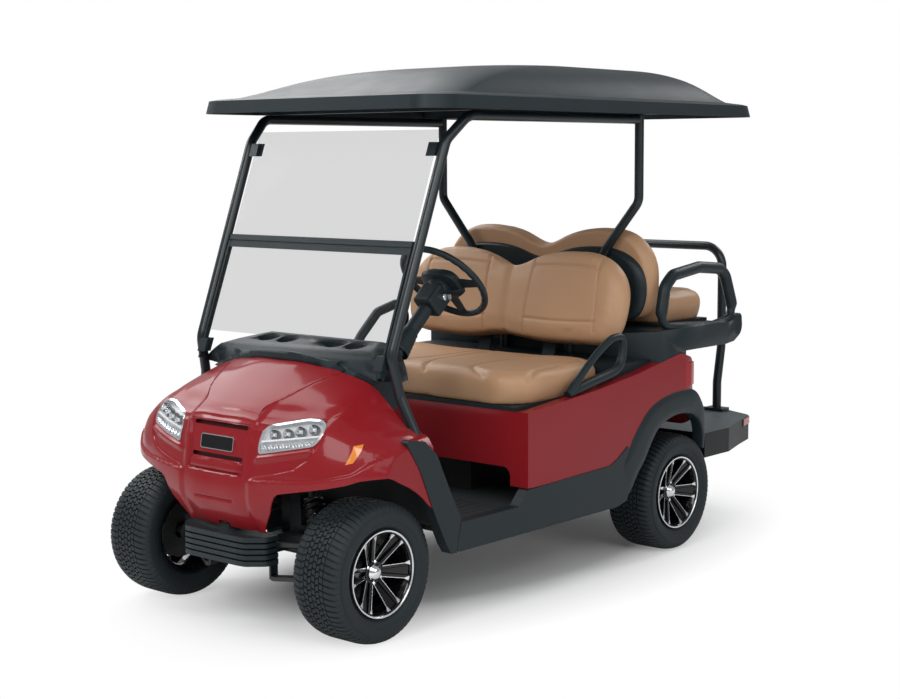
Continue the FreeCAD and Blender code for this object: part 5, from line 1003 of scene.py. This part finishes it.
steering = {
    "centre": at(0.285, 0.605, 1.114), "angle": 43.0, "ring": 0.163, "tube": 0.0125, "dent": 0.0009, "dents": 30,
    "gripRows": 120, "gripSides": 18, "spokes": (0, 180, 270), "spokeWidth": 0.044, "spokeDepth": 0.014,
    "hub": 0.078, "hubWide": 1.02, "hubTall": 0.76, "hubSides": 48, "hubPower": 3.2,
    "hubRings": ((-0.026, 0.70), (-0.020, 0.98), (-0.006, 1.04), (0.004, 1.0), (0.0095, 0.93), (0.0085, 0.86),
                 (0.0125, 0.80), (0.0145, 0.5), (0.0152, 0.02)),
    "collar": ((0.018, 0.030), (0.024, 0.046), (0.036, 0.048), (0.052, 0.044), (0.060, 0.030)),
    "key": ((-0.004, 0.012), (0.010, 0.0125), (0.012, 0.010), (0.012, 0.004)),
    "lever": ((0, 0, 0), (0.03, 0.012, 0.006), (0.065, 0.018, 0.010), (0.088, 0.020, 0.012)),
}
tilt = math.radians(steering["angle"])
wheelSide, wheelUp = Vector((1, 0, 0)), Vector((0, -math.sin(tilt), math.cos(tilt)))
wheelAxis = Vector((0, math.cos(tilt), math.sin(tilt)))
centre = steering["centre"]
form = newForm()
points = []
for gripRow in range(steering["gripRows"]):
    turn = 2 * math.pi * gripRow / steering["gripRows"]
    out = turned(wheelSide, wheelUp, turn)
    dent = steering["dent"] * math.cos(turn * steering["dents"]) * (1 if math.cos(turn * 2) > -0.55 else 0)
    for side in range(steering["gripSides"]):
        angle = 2 * math.pi * side / steering["gripSides"]
        size = steering["tube"] - 0.0006 - (dent if math.cos(angle) < 0.4 else 0)
        points.append(centre + out * (steering["ring"] + size * math.cos(angle)) + wheelAxis * size * math.sin(angle))
addPart(form, points, gridFaces(steering["gripRows"], steering["gripSides"], wrapRows=True, wrapColumns=True))
for degrees in steering["spokes"]:
    out = turned(wheelSide, wheelUp, math.radians(degrees))
    addBar(form, centre + out * 0.03 - wheelAxis * 0.004, centre + out * steering["ring"], steering["spokeWidth"],
           steering["spokeDepth"], wheelAxis, 0, 0.62)
# The hub pad is a rounded square dome with a ring groove
points = []
for lift, share in steering["hubRings"]:
    for side in range(steering["hubSides"]):
        turn = 2 * math.pi * side / steering["hubSides"]
        c, s = math.cos(turn), math.sin(turn)
        power = steering["hubPower"]
        size = steering["hub"] * share / (abs(c) ** power + abs(s) ** power) ** (1 / power)
        points.append(centre + wheelAxis * lift + wheelSide * (c * size * steering["hubWide"])
                      + wheelUp * (s * size * steering["hubTall"]))
addPart(form, points, tubeFaces(len(steering["hubRings"]), steering["hubSides"]))
placeForm(form, "steeringGrip", ["trimPlastic"], "steering_wheel", replaced="steering_wheel")

# Behind the wheel: a bellows boot on the column, a collar, a key with its ring, and the direction lever
form = newForm()
columnDown = -wheelAxis
boot = [(0.235 + 0.008 * k, 0.0265 + 0.0012 * k + (0.0025 if k % 2 else 0)) for k in range(13)]
addTurned(form, boot, centre, columnDown, 40)
addTurned(form, steering["collar"], centre, columnDown, 40)
keyPlace = centre + columnDown * 0.075 + Vector((0.044, 0, 0.002))
addTurned(form, steering["key"], keyPlace, (1, 0.15, 0.2), 24, 1)
addBar(form, keyPlace + Vector((0.010, 0, 0)), keyPlace + Vector((0.034, 0.003, 0.003)), 0.018, 0.0035, (0, 1, 0), 1)
leverRoot = centre + columnDown * 0.062 + Vector((0.03, 0, 0.006))
addTube(form, [leverRoot + Vector(place) for place in steering["lever"]], [0.0045, 0.0045, 0.005, 0.005], 12)
placeForm(form, "columnDetails", ["trimPlastic", "chrome"])
print("stage: steering")

# Coil springs round the front dampers
spring = {"turns": 9, "steps": 16, "wire": 0.0042, "radius": 0.0265, "start": 0.22, "length": 0.62,
          "foot": (0.338, 0.205), "top": (0.225, 0.468)}
form = newForm()
for hand, label in hands:
    foot, top = (at(hand * x, 0, z) for x, z in (spring["foot"], spring["top"]))
    along = top - foot
    one = along.normalized().orthogonal()
    two = along.normalized().cross(one)
    path = []
    last = spring["turns"] * spring["steps"]
    for k in range(last + 1):
        share = spring["start"] + spring["length"] * k / last
        path.append(foot + along * share + turned(one, two, 2 * math.pi * k / spring["steps"]) * spring["radius"])
    addTube(form, path, spring["wire"], 8)
placeForm(form, "coilSprings", ["rimGloss"])

# Raised ribs along the floor
floorRib = {"count": 26, "half": 0.48, "start": 0.40, "length": 0.25, "spots": 9, "radius": 0.0026}
form = newForm()
mesh = nodes["floor_pan"].data
tree = BVHTree.FromPolygons([v.co for v in mesh.vertices], [tuple(p.vertices) for p in mesh.polygons])
for k in range(floorRib["count"]):
    x = -floorRib["half"] + 2 * floorRib["half"] * k / (floorRib["count"] - 1)
    spots = []
    for share in range(floorRib["spots"]):
        station = floorRib["start"] + floorRib["length"] * share / (floorRib["spots"] - 1)
        hit, normal, face, distance = tree.ray_cast(at(x, station, 0.62), Vector((0, 0, -1)))
        if hit is not None and normal.z > 0.3:
            spots.append(hit + normal * 0.0008)
    if len(spots) > 2:
        addTube(form, spots, floorRib["radius"], 6)
placeForm(form, "floorRibs", ["floorMat"])
print("stage: details")


# A node's copy with its double vertices merged, and changed by edit
def weldedCopy(name, node, edit=None):
    mesh = nodes[node].data.copy()
    mendMesh(mesh, True, edit)
    return newPiece(name, mesh)


# Moulded armrests and handles are broader than the plain loops that they follow: they grow above a height
grips = {
    "tray": {"growth": 0.0065, "from": (0.925, 0.950)},
    "armrest": {"growth": 0.0035, "from": (-1.0, 0.0)},
}


def broaden(shape, facts):
    shape.normal_update()
    moves = [vertex.normal * (facts["growth"] * float(step(*facts["from"], vertex.co.z))) for vertex in shape.verts]
    for vertex, move in zip(shape.verts, moves):
        vertex.co += move


def broadenTray(shape):
    broaden(shape, grips["tray"])


def broadenFarArmrest(shape):
    broaden(shape, grips["armrest"])
    bmesh.ops.delete(shape, geom=[vertex for vertex in shape.verts if vertex.co.x > 0], context="VERTS")


dress(weldedCopy("rearTrayGrips", "rear_seat_tray", broadenTray), "rearTrayGrips", ["trimPlastic"], sharp=42,
      replaced="rear_seat_tray")
dress(weldedCopy("armrestGrip_right", "front_armrests", broadenFarArmrest), "armrestGrip_right", ["trimPlastic"],
      sharp=42, replaced="front_armrests")

# The near armrest is one moulded loop, thickest along its foot
armrest = {
    "x": 0.5695, "flat": 1.04,
    "path": ((950, 700), (976, 716), (1004, 740), (1068, 790), (1139, 838), (1207, 873), (1240, 881), (1264, 881),
             (1284, 873), (1291, 852), (1284, 806), (1270, 778), (1243, 759), (1193, 746), (1114, 733), (1023, 716),
             (956, 699)),
    "radius": (14, 15.5, 14.5, 13.5, 13.5, 14, 14.5, 15, 15.5, 16, 16.5, 17, 18, 18.5, 18.5, 18, 14),
}
line = [at(armrest["x"], station / 1000, z / 1000) for station, z in smoothLine(armrest["path"], 4)]
sizes = np.interp(fineKeys(armrest["path"], 4), np.arange(len(armrest["path"])), armrest["radius"])
form = newForm()
addTube(form, line, [size / 1000 for size in sizes], 20, armrest["flat"], Vector((1, 0, 0)))
placeForm(form, "armrestGrip_left", ["trimPlastic"], replaced="front_armrests")

# Rear flares: one thick band from the rear corner over the wheel and down into the rocker
flare = {
    "outer": ((1850, 384), (1846, 470), (1822, 562), (1756, 630), (1646, 640), (1534, 627), (1441, 594), (1381, 548),
              (1328, 494), (1291, 446), (1250, 417), (1205, 409)),
    "inner": ((1832, 384), (1824, 450), (1791, 503), (1725, 537), (1640, 545), (1560, 532), (1498, 504), (1452, 457),
              (1412, 400), (1362, 346), (1325, 292), (1290, 258)),
    "reach": (0.578, 0.584, 0.592, 0.5975, 0.5995, 0.5998, 0.5998, 0.5998, 0.5995, 0.598, 0.5955, 0.5905),
    "section": ((-0.03, -0.045), (0.0, -0.014), (0.03, -0.006), (0.10, -0.0015), (0.30, 0.0), (0.70, 0.0),
                (0.90, -0.0015), (0.97, -0.006), (1.0, -0.014), (1.0, -0.048), (0.85, -0.050), (0.15, -0.050)),
}
outerLine, innerLine = (smoothLine(flare[key], 5) for key in ("outer", "inner"))
reach = np.interp(fineKeys(flare["reach"], 5), np.arange(len(flare["reach"])), flare["reach"])
form = newForm()
for hand, label in hands:
    points = [at(hand * (reach[k] + inward), *((outerLine[k] * (1 - share) + innerLine[k] * share) / 1000))
              for k in range(len(reach)) for share, inward in flare["section"]]
    addPart(form, points, tubeFaces(len(reach), len(flare["section"])))
placeForm(form, "rearFlareTrim", ["trimPlastic"], replaced="rear_flares")

# The dashboard's ends are cut back in plan and underneath, behind the pillars
dash = {
    "plan": ((512, 120), (507, 172), (482, 205), (440, 240), (400, 270), (345, 300), (345, 345), (560, 345),
             (560, 120)),
    "under": ((105, 640), (105, 768), (128, 806), (165, 822), (345, 842), (345, 640)), "across": (342, 540),
}
dashCuts = []
for hand, label in hands:
    dashCuts.append(prism([(hand * x, station) for x, station in dash["plan"]], "XY", 600, 1000))
    dashCuts.append(prism(dash["under"], "YZ", *sorted(hand * x for x in dash["across"])))
dress(carve(weldedCopy("dashTop", "dashboard"), dashCuts), "dashTop", ["trimPlastic"], sharp=40,
      replaced="dashboard")

# The lower pane ends at its foot clamps, clear of the dashboard's front bow
paneCut = prism([(-600, -60), (600, -60), (600, 420), (-600, 420)], "XY", 780, 936)
dress(carve(weldedCopy("windscreenGlass", "windscreen_panes"), [paneCut]), "windscreenGlass", ["clearPane"], sharp=40,
      replaced="windscreen_panes")

# A dark panel across the front under the floor is painted shade, standing for the shade seen through the gap there,
# and red reflectors sit in the footplate's rear corners
shadePanel = {"half": 0.25, "heights": (0.196, 0.318), "stations": (0.238, 0.242)}
low, high = shadePanel["heights"]
corners = [(-shadePanel["half"], low), (shadePanel["half"], low), (shadePanel["half"], high),
           (-shadePanel["half"], high)]
form = newForm()
addPart(form, [at(x, station, z) for station in shadePanel["stations"] for x, z in corners],
        [(3, 2, 1, 0), (4, 5, 6, 7), (0, 1, 5, 4), (1, 2, 6, 5), (2, 3, 7, 6), (3, 0, 4, 7)])
placeForm(form, "frontShadePanel", ["frameCoat"])
reflector = {
    "strip": ((0.4905, 2.290), (0.468, 2.370), (0.458, 2.391), (0.436, 2.412), (0.372, 2.441)),
    "section": ((0.402, 0.0004), (0.4035, 0.0026), (0.4315, 0.0026), (0.433, 0.0004)),
}
for hand, label in hands:
    form = newForm()
    points = [at(hand * (x + out), station + out * 0.8, z) for z, out in reflector["section"]
              for x, station in reflector["strip"]]
    addPart(form, points, gridFaces(4, 5))
    placeForm(form, "footplateReflector_" + label, ["lampRed"])


# The footplate is grey on faces that point up and black on its steeper faces
def plateMaterial(tread, skirt):
    made = material("plateFinish", tread, 0.5, scale=500, depth=0.3, wave=0.05, specular=0.35)
    tree = made.node_tree
    baseColor = tree.nodes["Principled BSDF"].inputs["Base Color"]
    split = addNode(tree, "SeparateXYZ")
    facingUp = addNode(tree, "MapRange", {"From Min": 0.35, "From Max": 0.65})
    shade = mixColors(tree, facingUp.outputs["Result"], skirt, baseColor.links[0].from_socket)
    joinUp(tree, ((addNode(tree, "NewGeometry").outputs["True Normal"], split.inputs[0]),
                  (split.outputs["Z"], facingUp.inputs["Value"]), (shade, baseColor)))
    return made


coatNode("footplate", plateMaterial((0.060, 0.075, 0.082), (0.006, 0.007, 0.008)))
print("stage: grips, flares, dashboard and reflectors")


# The camera stands where the photograph was taken

view = {"place": (4.069, -4.8045, 1.553), "azimuth": 40.154, "elevation": 6.438, "roll": -0.163,
        "lens": 65.18, "shiftX": -0.0368, "shiftY": -0.0111}
azimuth, elevation, roll = (math.radians(view[key]) for key in ("azimuth", "elevation", "roll"))
back = Vector((math.sin(azimuth) * math.cos(elevation), -math.cos(azimuth) * math.cos(elevation), math.sin(elevation)))
right = Vector((math.cos(azimuth), math.sin(azimuth), 0))
up = back.cross(right)
cameraData = bpy.data.cameras.new("camera")
camera = newPiece("camera", cameraData)
axes = turned(right, up, roll), turned(up, -right, roll), back, view["place"]
camera.matrix_world = Matrix([[axis[row] for axis in axes] for row in range(3)] + [[0, 0, 0, 1]])
cameraData.lens = view["lens"]
cameraData.sensor_width = 36.0
cameraData.shift_x = view["shiftX"]
cameraData.shift_y = view["shiftY"]
cameraData.clip_end = 200.0
scene.camera = camera

# A pale floor that fades into a white sky, and soft light from above and the sides

studio = {
    "floorHalf": 30.0, "floorColor": (0.80, 0.80, 0.80), "sky": (0.93, 0.96, 0.98), "skyStrength": 0.36,
    "floorGlow": 0.04, "fade": (0.78, 1.55), "fadeScale": (1.75, 0.86, 1.0),
    "lamps": {
        "key": {"place": (1.8, -6.0, 4.6), "aim": (0, 0, 0.7), "power": 185, "size": 3.0},
        "hoodBox": {"place": (-3.6, 0.3, 5.0), "aim": (0, -1.0, 0.8), "power": 300, "size": 5.4},
        "bandBox": {"place": (-3.75, -2.6, 3.7), "aim": (0, -1.3, 0.7), "power": 50, "size": 1.2},
        "fillBox": {"place": (4.6, -3.4, 4.2), "aim": (0.2, 0, 0.7), "power": 85, "size": 2.6},
        "rearBox": {"place": (0.9, 5.2, 4.8), "aim": (0.3, 0.3, 0.7), "power": 110, "size": 2.2},
        "side": {"place": (6.5, -0.5, 3.2), "aim": (0, 0, 0.7), "power": 70, "size": 3.5},
    },
}


# 1 for what the camera sees, also through glass
def seenMask(tree):
    ray = addNode(tree, "LightPath").outputs
    seen = addNode(tree, "Math", operation="MAXIMUM")
    joinUp(tree, ((ray["Is Camera Ray"], seen.inputs[0]), (ray["Is Transmission Ray"], seen.inputs[1])))
    return seen.outputs[0]


half = studio["floorHalf"]
floorCorners = [(-half, -half, 0), (half, -half, 0), (half, half, 0), (-half, half, 0)]
floorMesh = newMesh("floor", floorCorners, [(0, 1, 2, 3)])
floorMaterial, tree, shader = newMaterial("floor", {
    "Base Color": (*studio["floorColor"], 1), "Roughness": 0.9, "Specular IOR Level": 0.2})
# Far from the object the camera sees plain white, so no horizon shows; near it the floor keeps its shadow
scaled = addNode(tree, "VectorMath", {1: studio["fadeScale"]}, operation="MULTIPLY")
length = addNode(tree, "VectorMath", operation="LENGTH")
fade = addNode(tree, "MapRange", {"From Min": studio["fade"][0], "From Max": studio["fade"][1],
                                  "To Min": studio["floorGlow"]})
times = addNode(tree, "Math", operation="MULTIPLY")
white = addNode(tree, "Emission", {"Strength": 1.0})
mix = addNode(tree, "MixShader")
joinUp(tree, (
    (addNode(tree, "TexCoord").outputs["Object"], scaled.inputs[0]), (scaled.outputs[0], length.inputs[0]),
    (length.outputs["Value"], fade.inputs["Value"]), (seenMask(tree), times.inputs[0]),
    (fade.outputs["Result"], times.inputs[1]), (times.outputs[0], mix.inputs[0]), (shader.outputs[0], mix.inputs[1]),
    (white.outputs[0], mix.inputs[2]), (mix.outputs[0], tree.nodes["Material Output"].inputs["Surface"])))
floorMesh.materials.append(floorMaterial)
newPiece("floor", floorMesh)

for name, facts in studio["lamps"].items():
    data = bpy.data.lights.new(name, "AREA")
    data.energy = facts["power"]
    data.size = facts["size"]
    lamp = newPiece(name, data)
    lamp.location = facts["place"]
    lamp.rotation_euler = (Vector(facts["aim"]) - Vector(facts["place"])).to_track_quat("-Z", "Y").to_euler()

scene.world = bpy.data.worlds.new("sky")
scene.world.use_nodes = True
tree = scene.world.node_tree
light = setInputs(tree.nodes["Background"], {"Color": (*studio["sky"], 1), "Strength": studio["skyStrength"]})
backdrop = addNode(tree, "Background", {"Color": (1, 1, 1, 1), "Strength": 1.0})
mix = addNode(tree, "MixShader")
joinUp(tree, ((seenMask(tree), mix.inputs[0]), (light.outputs[0], mix.inputs[1]), (backdrop.outputs[0], mix.inputs[2]),
              (mix.outputs[0], tree.nodes["World Output"].inputs["Surface"])))
scene.view_settings.view_transform = "Standard"
print("stage: camera and light")
